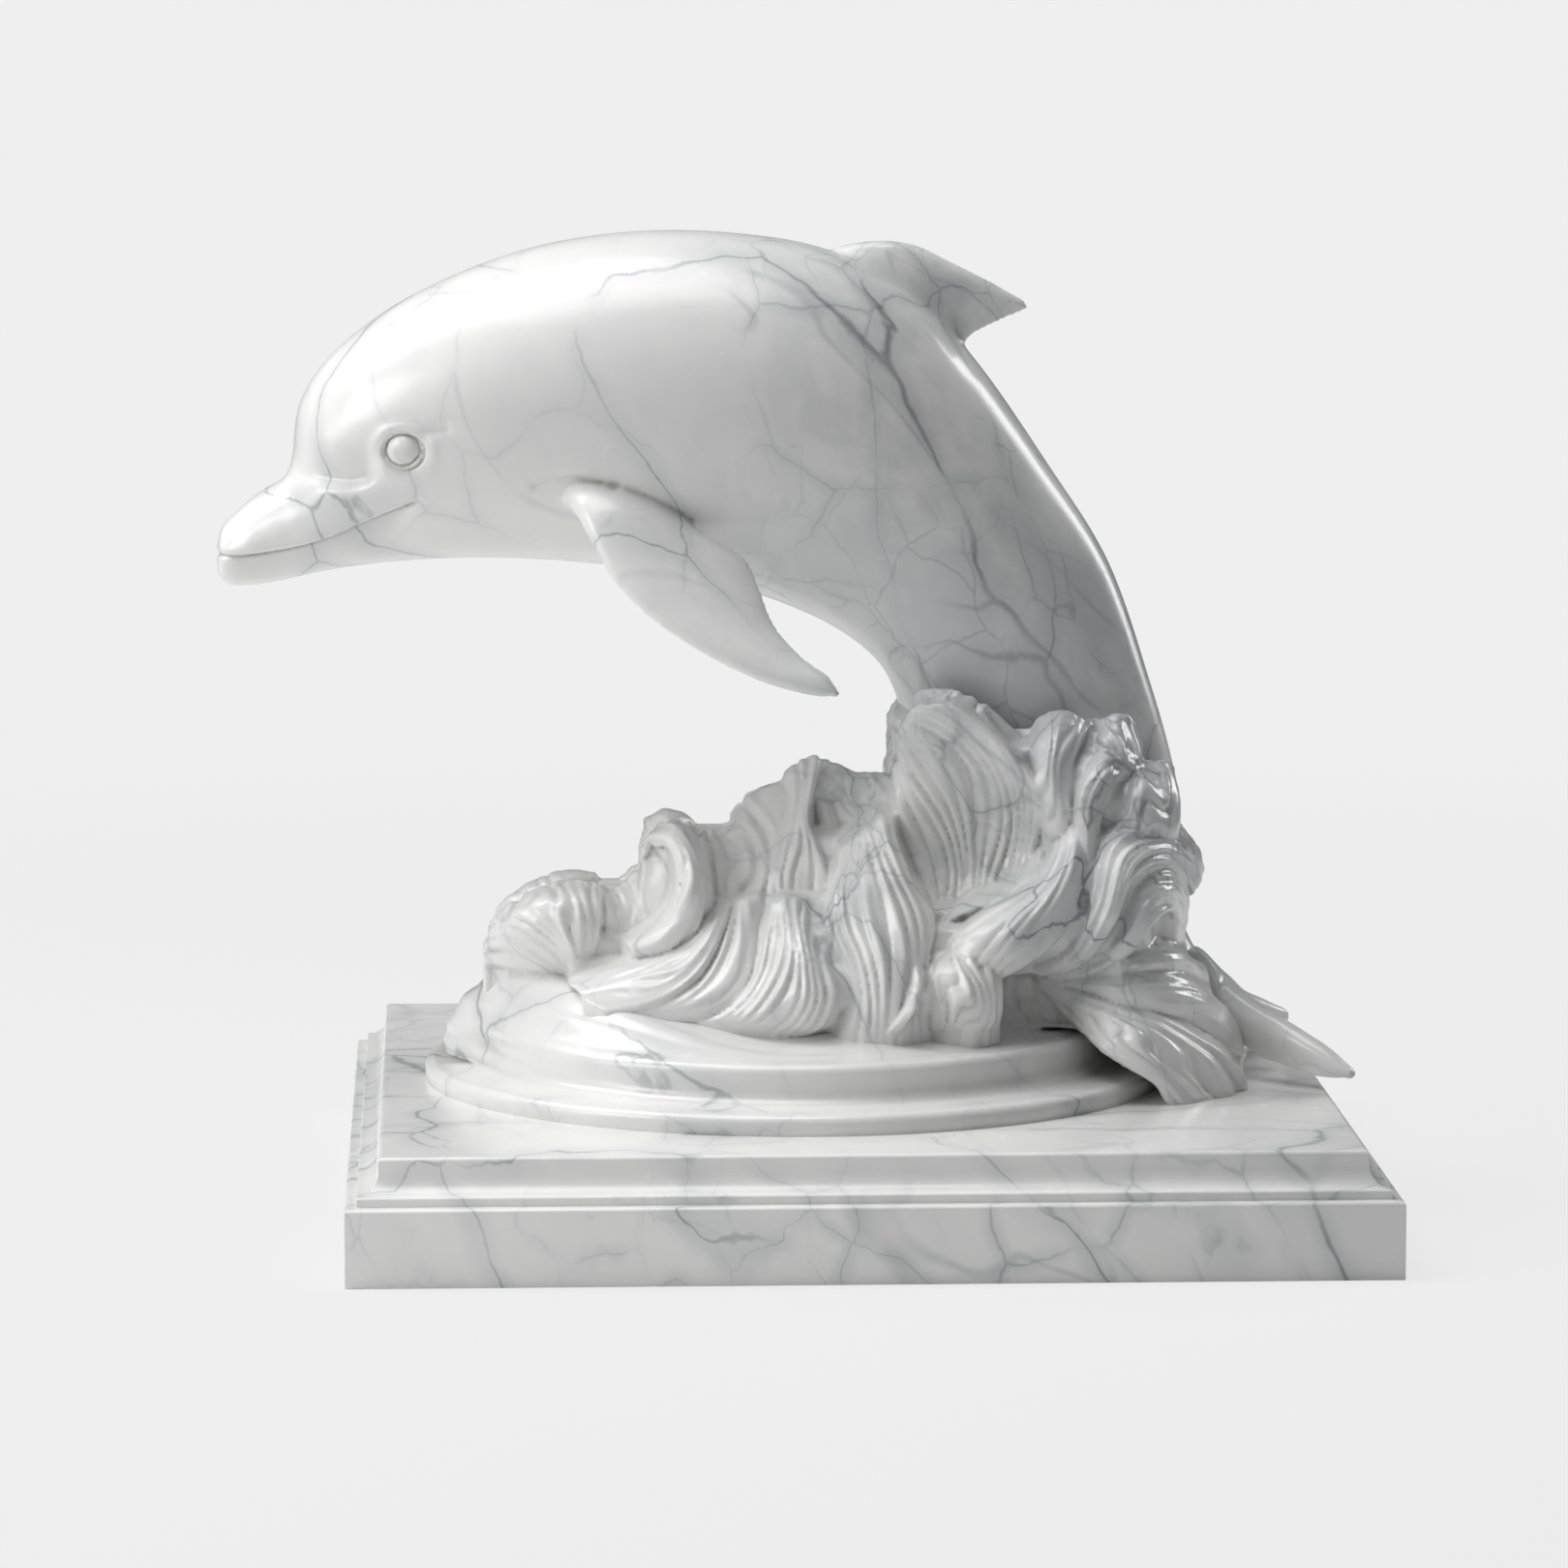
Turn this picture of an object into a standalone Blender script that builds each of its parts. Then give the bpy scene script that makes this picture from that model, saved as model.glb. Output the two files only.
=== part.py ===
# Leaping dolphin carved in marble, in one piece with the breaking wave that carries it,
# the two-step round disc under the wave and the moulded square plinth.
# Metres, +Z up. The origin is under the middle of the plinth and the dolphin swims towards -X.

import math
from collections import namedtuple

import bmesh
import bpy
import numpy as np
from mathutils import Matrix, Vector

# Plinth: a square slab with a moulding above it
PLINTH_SIDE = 0.270
SLAB_HEIGHT = 0.0203
SLAB_ARRIS = 0.0012
MOULDING_INSET = 0.0018
MOULDING_FOOT = 0.0025
COVE_INSET = 0.0055
COVE_HEIGHT = 0.0057
TABLE_STEP = 0.00245
TABLE_ARRIS = 0.0012

# Disc: two turned steps and a low swell of water, heaped up towards the left
DISC_X = -0.0145
DISC_RADIUS = 0.1003
DISC_STEP = 0.0054
UPPER_RADIUS = 0.0845
UPPER_STEP = 0.0105
RIM_ROUND = 0.0022
SWELL_RADIUS = 0.046
SWELL_RISE = 0.0050
HEAP_RISE = 0.0150
HEAP_RIM = 0.0045
HEAP_SPILL = 0.0075
DISC_SINK = 0.0020
DISC_STEPS = 80

# Dolphin and wave together, over the beak and the tail
SCULPTURE_LENGTH = 0.3017

# Dolphin
BODY_SIDES = 48
BODY_RINGS = 140
FIN_SIDES = 16
FIN_RINGS = 14
EYE_RADIUS = 0.0043
LID_RADIUS = 0.0062
LID_HEIGHT = 0.0011
MOUTH_DEPTH = 0.0014
MOUTH_WIDTH = 0.0013
BROW_DEPTH = 0.0009
BROW_WIDTH = 0.0045

# Wave, laid as a relief of square cells seen from the front
CELL = 0.0007
RELIEF_LOW = (-0.118, -0.004)
RELIEF_HIGH = (0.128, 0.112)
LOCK_RINGS = 150
FLUTE_COLUMNS = 14
LIP_HEIGHT = 0.0008
GROOVE_SINK = 0.0020
GAP_CLOSED = 0.0022
FOOT_DEPTH = 0.0120
DISC_END = 0.050
SHELL_THICKNESS = 0.0090
SHELL_LEAST = 0.0040
EDGE_ROUND = 0.0042
EDGE_SETBACK = 0.0015
CORE_ROUND = 0.0240
CORE_COVER = 0.0050
CORE_LEAST = 0.0060
BACK_SCALE = (1.0, -0.95, 0.95)

# Finish of the carving
GRAIN = 0.0010
RUBBING = 3
FACET_SHARE = 0.0205

WHITE_MARBLE = (0.80, 0.80, 0.79, 1.0)
POLISH_ROUGHNESS = 0.22

TABLE_TOP = SLAB_HEIGHT + MOULDING_FOOT + COVE_HEIGHT + TABLE_STEP + TABLE_ARRIS
UPPER_TOP = DISC_STEP + UPPER_STEP

# A cut through the body, from a point on the back to one on the belly, above the plinth's top
Station = namedtuple("Station", "back_x back_z belly_x belly_z half_width")

BODY = [
    Station(-0.1697, 0.1435, -0.1695, 0.1375, 0.0045),
    Station(-0.1683, 0.1488, -0.1672, 0.1342, 0.0090),
    Station(-0.1640, 0.1530, -0.1610, 0.1332, 0.0115),
    Station(-0.1575, 0.1588, -0.1520, 0.1345, 0.0130),
    Station(-0.1520, 0.1624, -0.1425, 0.1366, 0.0150),
    Station(-0.1497, 0.1680, -0.1320, 0.1386, 0.0182),
    Station(-0.1468, 0.1840, -0.1190, 0.1402, 0.0228),
    Station(-0.1363, 0.1980, -0.1035, 0.1410, 0.0285),
    Station(-0.1160, 0.2120, -0.0827, 0.1405, 0.0342),
    Station(-0.0876, 0.2234, -0.0619, 0.1385, 0.0385),
    Station(-0.0590, 0.2282, -0.0460, 0.1358, 0.0408),
    Station(-0.0306, 0.2278, -0.0294, 0.1322, 0.0412),
    Station(-0.0050, 0.2230, -0.0170, 0.1280, 0.0396),
    Station(0.0180, 0.2105, -0.0035, 0.1215, 0.0362),
    Station(0.0345, 0.1930, 0.0072, 0.1130, 0.0322),
    Station(0.0536, 0.1655, 0.0125, 0.1038, 0.0284),
    Station(0.0699, 0.1393, 0.0146, 0.0930, 0.0248),
    Station(0.0811, 0.1077, 0.0200, 0.0775, 0.0212),
    Station(0.0884, 0.0813, 0.0350, 0.0620, 0.0176),
    Station(0.0906, 0.0600, 0.0533, 0.0470, 0.0142),
    Station(0.0908, 0.0415, 0.0666, 0.0324, 0.0118),
    Station(0.0983, 0.0282, 0.0825, 0.0170, 0.0102),
    Station(0.1089, 0.0196, 0.0990, 0.0085, 0.0090),
    Station(0.1150, 0.0140, 0.1090, 0.0085, 0.0050),
]

# Fins, from the root to the tip: both edges, (x, y, z) above the plinth's top, and thickness
Section = namedtuple("Section", "leading trailing thickness")

DORSAL = [
    Section((-0.014, 0.0, 0.212), (0.026, 0.0, 0.190), 0.0300),
    Section((-0.006, 0.0, 0.2225), (0.0290, 0.0, 0.1955), 0.0190),
    Section((0.0050, 0.0, 0.2255), (0.0315, 0.0, 0.1990), 0.0130),
    Section((0.0165, 0.0, 0.2248), (0.0340, 0.0, 0.2010), 0.0100),
    Section((0.0270, 0.0, 0.2200), (0.0375, 0.0, 0.2028), 0.0078),
    Section((0.0375, 0.0, 0.2148), (0.0420, 0.0, 0.2048), 0.0058),
    Section((0.0455, 0.0, 0.2103), (0.0468, 0.0, 0.2068), 0.0036),
]
FLIPPER = [
    Section((-0.0800, -0.022, 0.1640), (-0.0500, -0.024, 0.1610), 0.0180),
    Section((-0.0775, -0.032, 0.1610), (-0.0480, -0.030, 0.1560), 0.0150),
    Section((-0.0737, -0.0400, 0.1562), (-0.0420, -0.034, 0.1510), 0.0125),
    Section((-0.0698, -0.0450, 0.1486), (-0.0345, -0.0365, 0.1470), 0.0110),
    Section((-0.0643, -0.0495, 0.1393), (-0.0290, -0.0395, 0.1432), 0.0098),
    Section((-0.0543, -0.0540, 0.1296), (-0.0259, -0.0435, 0.1365), 0.0088),
    Section((-0.0405, -0.0580, 0.1208), (-0.0224, -0.0490, 0.1276), 0.0076),
    Section((-0.0266, -0.0600, 0.1141), (-0.0155, -0.0550, 0.1198), 0.0062),
    Section((-0.0140, -0.0610, 0.1103), (-0.0089, -0.0590, 0.1154), 0.0048),
    Section((-0.0077, -0.0610, 0.1098), (-0.0062, -0.0608, 0.1116), 0.0030),
]
FAR_FLIPPER_DROP = 0.0130
NEAR_FLUKE = [
    Section((0.0930, 0.0100, 0.0330), (0.0985, 0.0100, 0.0140), 0.0130),
    Section((0.1000, -0.0050, 0.0265), (0.1040, -0.0050, 0.0118), 0.0115),
    Section((0.1087, -0.0160, 0.0209), (0.1099, -0.0160, 0.0066), 0.0100),
    Section((0.1176, -0.0260, 0.0166), (0.1180, -0.0260, 0.0048), 0.0088),
    Section((0.1265, -0.0330, 0.0116), (0.1252, -0.0330, 0.0032), 0.0075),
    Section((0.1320, -0.0370, 0.0070), (0.1310, -0.0370, 0.0036), 0.0055),
]
FAR_FLUKE = [
    Section((0.0920, -0.0080, 0.0340), (0.0975, -0.0080, 0.0150), 0.0130),
    Section((0.1000, 0.0080, 0.0262), (0.1045, 0.0080, 0.0125), 0.0110),
    Section((0.1070, 0.0210, 0.0195), (0.1100, 0.0210, 0.0085), 0.0095),
    Section((0.1150, 0.0310, 0.0150), (0.1165, 0.0310, 0.0060), 0.0080),
    Section((0.1215, 0.0370, 0.0115), (0.1220, 0.0370, 0.0060), 0.0060),
]
EYE = (-0.1197, 0.1719)
MOUTH = [(-0.1700, 0.1427), (-0.1625, 0.1428), (-0.1561, 0.1435), (-0.1472, 0.1452),
         (-0.1383, 0.1481), (-0.1267, 0.1535), (-0.1204, 0.1562), (-0.1150, 0.1588)]
BROW = [(-0.1520, 0.1635), (-0.1460, 0.1644), (-0.1400, 0.1645), (-0.1335, 0.1643), (-0.1275, 0.1665)]

# A lock of water: its number of flutes, how far its face swells for its width, how deep its flutes are,
# and its lines of flow from left to right, each from its foot to its crest, (x, y, z) above the plinth's top
Lock = namedtuple("Lock", "flutes swell flute_depth flow")

LOCKS = [
    # Shell-shaped crest at the left
    Lock(10, 0.0, 0.0012, [
        [(-0.0743, -0.022, 0.0285), (-0.0833, -0.019, 0.0304), (-0.0916, -0.012, 0.0301),
         (-0.0977, -0.004, 0.0305)],
        [(-0.0744, -0.024, 0.0290), (-0.0834, -0.026, 0.0366), (-0.0923, -0.020, 0.0399),
         (-0.0975, -0.008, 0.0380)],
        [(-0.0743, -0.025, 0.0295), (-0.0807, -0.031, 0.0415), (-0.0889, -0.028, 0.0474),
         (-0.0950, -0.014, 0.0450)],
        [(-0.0740, -0.026, 0.0298), (-0.0773, -0.034, 0.0433), (-0.0827, -0.030, 0.0518),
         (-0.0877, -0.018, 0.0512)],
        [(-0.0736, -0.026, 0.0302), (-0.0738, -0.034, 0.0440), (-0.0765, -0.031, 0.0526),
         (-0.0798, -0.020, 0.0540)],
        [(-0.0730, -0.026, 0.0305), (-0.0710, -0.033, 0.0438), (-0.0716, -0.030, 0.0524),
         (-0.0725, -0.020, 0.0549)],
        [(-0.0723, -0.025, 0.0307), (-0.0682, -0.031, 0.0421), (-0.0671, -0.027, 0.0492),
         (-0.0680, -0.019, 0.0535)],
    ]),
    # Shoulder between the shell and the curl
    Lock(5, 0.0, 0.0008, [
        [(-0.0716, -0.026, 0.0309), (-0.0668, -0.028, 0.0402), (-0.0664, -0.025, 0.0468),
         (-0.0674, -0.017, 0.0513)],
        [(-0.0668, -0.028, 0.0332), (-0.0633, -0.028, 0.0402), (-0.0632, -0.024, 0.0466),
         (-0.0644, -0.015, 0.0518)],
        [(-0.0626, -0.027, 0.0359), (-0.0591, -0.026, 0.0427), (-0.0590, -0.021, 0.0490),
         (-0.0595, -0.013, 0.0552)],
        [(-0.0584, -0.025, 0.0397), (-0.0542, -0.023, 0.0464), (-0.0544, -0.018, 0.0527),
         (-0.0553, -0.012, 0.0593)],
    ]),
    # Pocket inside the curl
    Lock(3, 0.0, 0.0005, [
        [(-0.0626, -0.026, 0.0392), (-0.0597, -0.023, 0.0465), (-0.0579, -0.018, 0.0527),
         (-0.0563, -0.014, 0.0606), (-0.0560, -0.013, 0.0640)],
        [(-0.0557, -0.028, 0.0423), (-0.0521, -0.024, 0.0487), (-0.0513, -0.020, 0.0551),
         (-0.0526, -0.017, 0.0610), (-0.0540, -0.016, 0.0651)],
        [(-0.0495, -0.030, 0.0446), (-0.0466, -0.026, 0.0524), (-0.0475, -0.022, 0.0588),
         (-0.0492, -0.020, 0.0628), (-0.0512, -0.018, 0.0646)],
    ]),
    # Curl that breaks to the left
    Lock(4, 0.12, 0.0013, [
        [(-0.0611, -0.038, 0.0417), (-0.0526, -0.042, 0.0474), (-0.0478, -0.042, 0.0547),
         (-0.0472, -0.040, 0.0613), (-0.0490, -0.036, 0.0653), (-0.0517, -0.033, 0.0674),
         (-0.0542, -0.030, 0.0663)],
        [(-0.0602, -0.042, 0.0405), (-0.0507, -0.046, 0.0449), (-0.0447, -0.046, 0.0539),
         (-0.0446, -0.044, 0.0619), (-0.0469, -0.039, 0.0674), (-0.0500, -0.035, 0.0704),
         (-0.0536, -0.030, 0.0690)],
        [(-0.0585, -0.041, 0.0386), (-0.0479, -0.044, 0.0425), (-0.0414, -0.044, 0.0522),
         (-0.0415, -0.041, 0.0614), (-0.0440, -0.036, 0.0684), (-0.0481, -0.031, 0.0718),
         (-0.0532, -0.026, 0.0703), (-0.0555, -0.022, 0.0673)],
        [(-0.0560, -0.037, 0.0373), (-0.0457, -0.038, 0.0402), (-0.0384, -0.038, 0.0492),
         (-0.0386, -0.035, 0.0599), (-0.0409, -0.031, 0.0670), (-0.0452, -0.026, 0.0717),
         (-0.0513, -0.022, 0.0716), (-0.0557, -0.018, 0.0667), (-0.0563, -0.016, 0.0609)],
    ]),
    # Hill under the arch
    Lock(9, 0.0, 0.0008, [
        [(-0.0390, -0.036, 0.0496), (-0.0385, -0.031, 0.0552), (-0.0382, -0.024, 0.0619),
         (-0.0387, -0.016, 0.0671), (-0.0392, -0.012, 0.0681)],
        [(-0.0325, -0.037, 0.0504), (-0.0330, -0.031, 0.0565), (-0.0333, -0.022, 0.0623),
         (-0.0341, -0.014, 0.0661), (-0.0342, -0.009, 0.0674)],
        [(-0.0277, -0.038, 0.0505), (-0.0281, -0.031, 0.0572), (-0.0285, -0.022, 0.0643),
         (-0.0281, -0.014, 0.0703), (-0.0282, -0.007, 0.0757)],
        [(-0.0229, -0.038, 0.0505), (-0.0226, -0.032, 0.0587), (-0.0209, -0.024, 0.0659),
         (-0.0198, -0.015, 0.0731), (-0.0201, -0.005, 0.0796)],
        [(-0.0181, -0.039, 0.0506), (-0.0186, -0.034, 0.0589), (-0.0169, -0.027, 0.0663),
         (-0.0154, -0.018, 0.0735), (-0.0137, -0.003, 0.0849)],
        [(-0.0126, -0.039, 0.0506), (-0.0131, -0.034, 0.0589), (-0.0135, -0.028, 0.0657),
         (-0.0138, -0.020, 0.0731), (-0.0100, 0.000, 0.0865)],
        [(-0.0064, -0.038, 0.0525), (-0.0075, -0.034, 0.0589), (-0.0093, -0.028, 0.0650),
         (-0.0118, -0.022, 0.0712), (-0.0080, -0.002, 0.0865)],
    ]),
    # Hollow between the hill and the tail
    Lock(6, 0.0, 0.0008, [
        [(-0.0050, -0.020, 0.0601), (-0.0076, -0.014, 0.0681), (-0.0091, -0.008, 0.0762),
         (-0.0101, 0.000, 0.0864)],
        [(0.0009, -0.018, 0.0642), (-0.0017, -0.012, 0.0708), (-0.0028, -0.006, 0.0774),
         (-0.0039, 0.001, 0.0846)],
        [(0.0060, -0.018, 0.0686), (0.0041, -0.013, 0.0738), (0.0030, -0.007, 0.0782),
         (0.0019, 0.000, 0.0821)],
        [(0.0092, -0.020, 0.0718), (0.0088, -0.015, 0.0755), (0.0090, -0.010, 0.0786),
         (0.0084, -0.002, 0.0814)],
        [(0.0130, -0.024, 0.0752), (0.0122, -0.018, 0.0781), (0.0118, -0.012, 0.0810),
         (0.0115, -0.006, 0.0828)],
    ]),
    # Lock that spreads over the disc
    Lock(7, 0.05, 0.0013, [
        [(-0.0767, -0.040, 0.0306), (-0.0657, -0.042, 0.0350), (-0.0561, -0.043, 0.0379),
         (-0.0485, -0.042, 0.0405), (-0.0430, -0.040, 0.0453), (-0.0394, -0.036, 0.0493)],
        [(-0.0747, -0.046, 0.0298), (-0.0631, -0.049, 0.0326), (-0.0536, -0.050, 0.0355),
         (-0.0460, -0.048, 0.0400), (-0.0407, -0.044, 0.0459), (-0.0377, -0.037, 0.0501)],
        [(-0.0714, -0.050, 0.0276), (-0.0598, -0.053, 0.0298), (-0.0503, -0.054, 0.0333),
         (-0.0426, -0.051, 0.0394), (-0.0380, -0.046, 0.0462), (-0.0353, -0.038, 0.0506)],
        [(-0.0660, -0.054, 0.0255), (-0.0565, -0.056, 0.0271), (-0.0476, -0.056, 0.0305),
         (-0.0407, -0.053, 0.0369), (-0.0363, -0.047, 0.0449), (-0.0332, -0.038, 0.0512)],
    ]),
    # Second spreading lock
    Lock(6, 0.05, 0.0013, [
        [(-0.0660, -0.053, 0.0253), (-0.0551, -0.055, 0.0273), (-0.0462, -0.055, 0.0310),
         (-0.0392, -0.051, 0.0373), (-0.0349, -0.045, 0.0446), (-0.0325, -0.037, 0.0514)],
        [(-0.0578, -0.055, 0.0242), (-0.0476, -0.057, 0.0265), (-0.0394, -0.057, 0.0306),
         (-0.0331, -0.053, 0.0368), (-0.0305, -0.047, 0.0449), (-0.0295, -0.038, 0.0526)],
        [(-0.0497, -0.057, 0.0237), (-0.0409, -0.058, 0.0259), (-0.0340, -0.057, 0.0298),
         (-0.0297, -0.053, 0.0354), (-0.0284, -0.047, 0.0428), (-0.0264, -0.038, 0.0533)],
        [(-0.0428, -0.056, 0.0225), (-0.0353, -0.056, 0.0245), (-0.0305, -0.055, 0.0288),
         (-0.0283, -0.051, 0.0344), (-0.0274, -0.046, 0.0406), (-0.0239, -0.038, 0.0512)],
    ]),
    # Third spreading lock
    Lock(10, 0.08, 0.0014, [
        [(-0.0442, -0.057, 0.0230), (-0.0361, -0.059, 0.0260), (-0.0300, -0.059, 0.0315),
         (-0.0261, -0.056, 0.0379), (-0.0245, -0.051, 0.0448), (-0.0224, -0.042, 0.0518)],
        [(-0.0361, -0.059, 0.0222), (-0.0280, -0.062, 0.0258), (-0.0226, -0.062, 0.0319),
         (-0.0197, -0.059, 0.0390), (-0.0195, -0.053, 0.0457), (-0.0200, -0.043, 0.0529)],
        [(-0.0273, -0.060, 0.0213), (-0.0199, -0.063, 0.0252), (-0.0152, -0.064, 0.0315),
         (-0.0144, -0.061, 0.0386), (-0.0154, -0.054, 0.0451), (-0.0169, -0.043, 0.0532)],
        [(-0.0184, -0.060, 0.0205), (-0.0124, -0.063, 0.0244), (-0.0090, -0.063, 0.0306),
         (-0.0106, -0.060, 0.0371), (-0.0119, -0.053, 0.0436), (-0.0141, -0.042, 0.0527)],
        [(-0.0128, -0.057, 0.0196), (-0.0074, -0.059, 0.0234), (-0.0061, -0.059, 0.0300),
         (-0.0093, -0.056, 0.0361), (-0.0094, -0.050, 0.0431), (-0.0123, -0.040, 0.0517)],
    ]),
    # Valley beside the third lock
    Lock(5, 0.0, 0.0009, [
        [(-0.0080, -0.044, 0.0339), (-0.0085, -0.040, 0.0423), (-0.0117, -0.034, 0.0498),
         (-0.0149, -0.028, 0.0546)],
        [(-0.0046, -0.045, 0.0305), (-0.0058, -0.041, 0.0390), (-0.0083, -0.036, 0.0480),
         (-0.0122, -0.030, 0.0555)],
        [(-0.0026, -0.046, 0.0258), (-0.0038, -0.042, 0.0370), (-0.0057, -0.038, 0.0469),
         (-0.0081, -0.032, 0.0565)],
        [(-0.0013, -0.047, 0.0204), (-0.0011, -0.044, 0.0325), (-0.0016, -0.040, 0.0458),
         (-0.0048, -0.035, 0.0548)],
    ]),
    # Pointed sheet
    Lock(9, 0.1, 0.0014, [
        [(-0.0086, -0.056, 0.0195), (-0.0058, -0.056, 0.0268), (-0.0067, -0.054, 0.0359),
         (-0.0087, -0.050, 0.0454), (-0.0074, -0.045, 0.0549), (-0.0033, -0.036, 0.0663)],
        [(-0.0035, -0.060, 0.0200), (-0.0013, -0.060, 0.0295), (-0.0019, -0.058, 0.0393),
         (-0.0039, -0.054, 0.0489), (-0.0025, -0.048, 0.0582), (-0.0001, -0.037, 0.0682)],
        [(0.0036, -0.062, 0.0203), (0.0049, -0.063, 0.0314), (0.0050, -0.061, 0.0412),
         (0.0039, -0.056, 0.0506), (0.0035, -0.050, 0.0598), (0.0031, -0.037, 0.0704)],
        [(0.0108, -0.062, 0.0205), (0.0107, -0.062, 0.0312), (0.0123, -0.060, 0.0410),
         (0.0118, -0.056, 0.0505), (0.0093, -0.049, 0.0604), (0.0069, -0.035, 0.0738)],
        [(0.0182, -0.058, 0.0204), (0.0160, -0.058, 0.0305), (0.0182, -0.056, 0.0404),
         (0.0206, -0.053, 0.0479), (0.0146, -0.045, 0.0583), (0.0084, -0.033, 0.0713)],
    ]),
    # Small lick
    Lock(2, 0.3, 0.0006, [
        [(0.0057, -0.062, 0.0208), (0.0099, -0.064, 0.0250), (0.0130, -0.063, 0.0313),
         (0.0135, -0.058, 0.0392)],
        [(0.0074, -0.064, 0.0211), (0.0119, -0.067, 0.0262), (0.0144, -0.066, 0.0325),
         (0.0145, -0.059, 0.0401)],
        [(0.0093, -0.062, 0.0207), (0.0135, -0.064, 0.0264), (0.0162, -0.063, 0.0328),
         (0.0158, -0.057, 0.0391)],
    ]),
    # Lock with a knob
    Lock(7, 0.1, 0.0012, [
        [(0.0182, -0.057, 0.0206), (0.0187, -0.060, 0.0265), (0.0179, -0.061, 0.0317),
         (0.0187, -0.060, 0.0359), (0.0219, -0.055, 0.0395)],
        [(0.0252, -0.060, 0.0210), (0.0264, -0.063, 0.0269), (0.0249, -0.064, 0.0329),
         (0.0244, -0.061, 0.0375), (0.0255, -0.055, 0.0409)],
        [(0.0317, -0.060, 0.0213), (0.0329, -0.062, 0.0274), (0.0315, -0.062, 0.0339),
         (0.0295, -0.059, 0.0386), (0.0291, -0.054, 0.0422)],
        [(0.0375, -0.054, 0.0211), (0.0380, -0.056, 0.0279), (0.0373, -0.056, 0.0344),
         (0.0342, -0.054, 0.0392), (0.0329, -0.051, 0.0431)],
    ]),
    # Long sheet that sweeps up to the right
    Lock(6, 0.06, 0.0012, [
        [(0.0207, -0.052, 0.0368), (0.0256, -0.053, 0.0449), (0.0329, -0.051, 0.0504),
         (0.0403, -0.049, 0.0540), (0.0477, -0.046, 0.0590), (0.0523, -0.042, 0.0650),
         (0.0544, -0.038, 0.0710), (0.0558, -0.034, 0.0770)],
        [(0.0226, -0.055, 0.0366), (0.0283, -0.056, 0.0439), (0.0356, -0.054, 0.0486),
         (0.0429, -0.052, 0.0526), (0.0496, -0.049, 0.0580), (0.0542, -0.045, 0.0646),
         (0.0560, -0.041, 0.0713), (0.0571, -0.036, 0.0780)],
        [(0.0267, -0.058, 0.0363), (0.0324, -0.059, 0.0422), (0.0389, -0.058, 0.0470),
         (0.0455, -0.055, 0.0516), (0.0522, -0.052, 0.0569), (0.0568, -0.048, 0.0643),
         (0.0580, -0.043, 0.0716), (0.0584, -0.037, 0.0788)],
        [(0.0325, -0.057, 0.0353), (0.0382, -0.058, 0.0398), (0.0440, -0.057, 0.0447),
         (0.0499, -0.054, 0.0493), (0.0559, -0.051, 0.0553), (0.0595, -0.047, 0.0634),
         (0.0598, -0.042, 0.0715), (0.0600, -0.036, 0.0794)],
        [(0.0376, -0.052, 0.0331), (0.0436, -0.053, 0.0365), (0.0494, -0.052, 0.0403),
         (0.0546, -0.050, 0.0457), (0.0588, -0.047, 0.0533), (0.0612, -0.044, 0.0615),
         (0.0615, -0.040, 0.0712), (0.0618, -0.035, 0.0800)],
    ]),
    # Shelf at the fan's foot
    Lock(4, 0.0, 0.0004, [
        [(0.0216, -0.048, 0.0471), (0.0262, -0.044, 0.0516), (0.0295, -0.038, 0.0544)],
        [(0.0288, -0.048, 0.0507), (0.0328, -0.043, 0.0536), (0.0354, -0.037, 0.0556)],
        [(0.0376, -0.046, 0.0540), (0.0408, -0.041, 0.0569), (0.0434, -0.036, 0.0591)],
        [(0.0464, -0.044, 0.0595), (0.0485, -0.040, 0.0625), (0.0498, -0.037, 0.0665)],
    ]),
    # Hollow fan against the belly
    Lock(15, 0.0, 0.0014, [
        [(0.0208, -0.038, 0.0500), (0.0175, -0.033, 0.0588), (0.0142, -0.028, 0.0669),
         (0.0119, -0.024, 0.0737), (0.0106, -0.020, 0.0806), (0.0115, -0.018, 0.0854)],
        [(0.0237, -0.038, 0.0507), (0.0227, -0.032, 0.0601), (0.0193, -0.027, 0.0697),
         (0.0159, -0.024, 0.0788), (0.0134, -0.023, 0.0860), (0.0127, -0.022, 0.0918)],
        [(0.0266, -0.038, 0.0515), (0.0264, -0.030, 0.0613), (0.0245, -0.026, 0.0717),
         (0.0208, -0.026, 0.0820), (0.0164, -0.026, 0.0901), (0.0127, -0.025, 0.0958)],
        [(0.0295, -0.038, 0.0522), (0.0304, -0.030, 0.0620), (0.0292, -0.026, 0.0739),
         (0.0258, -0.028, 0.0851), (0.0198, -0.030, 0.0942), (0.0130, -0.028, 0.0998)],
        [(0.0331, -0.038, 0.0529), (0.0348, -0.030, 0.0627), (0.0346, -0.027, 0.0755),
         (0.0314, -0.030, 0.0875), (0.0254, -0.033, 0.0974), (0.0162, -0.030, 0.1040)],
        [(0.0367, -0.038, 0.0532), (0.0390, -0.031, 0.0628), (0.0399, -0.029, 0.0757),
         (0.0378, -0.032, 0.0863), (0.0332, -0.035, 0.0962), (0.0246, -0.033, 0.1050)],
        [(0.0410, -0.039, 0.0544), (0.0436, -0.033, 0.0638), (0.0451, -0.032, 0.0746),
         (0.0438, -0.034, 0.0843), (0.0404, -0.036, 0.0926), (0.0325, -0.035, 0.1005)],
        [(0.0453, -0.040, 0.0567), (0.0473, -0.036, 0.0649), (0.0488, -0.035, 0.0735),
         (0.0484, -0.036, 0.0802), (0.0469, -0.036, 0.0860), (0.0412, -0.035, 0.0925)],
    ]),
    # Lip behind the fan
    Lock(3, 0.0, 0.0004, [
        [(0.0150, -0.025, 0.1023), (0.0154, -0.025, 0.1053), (0.0158, -0.024, 0.1070)],
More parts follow.
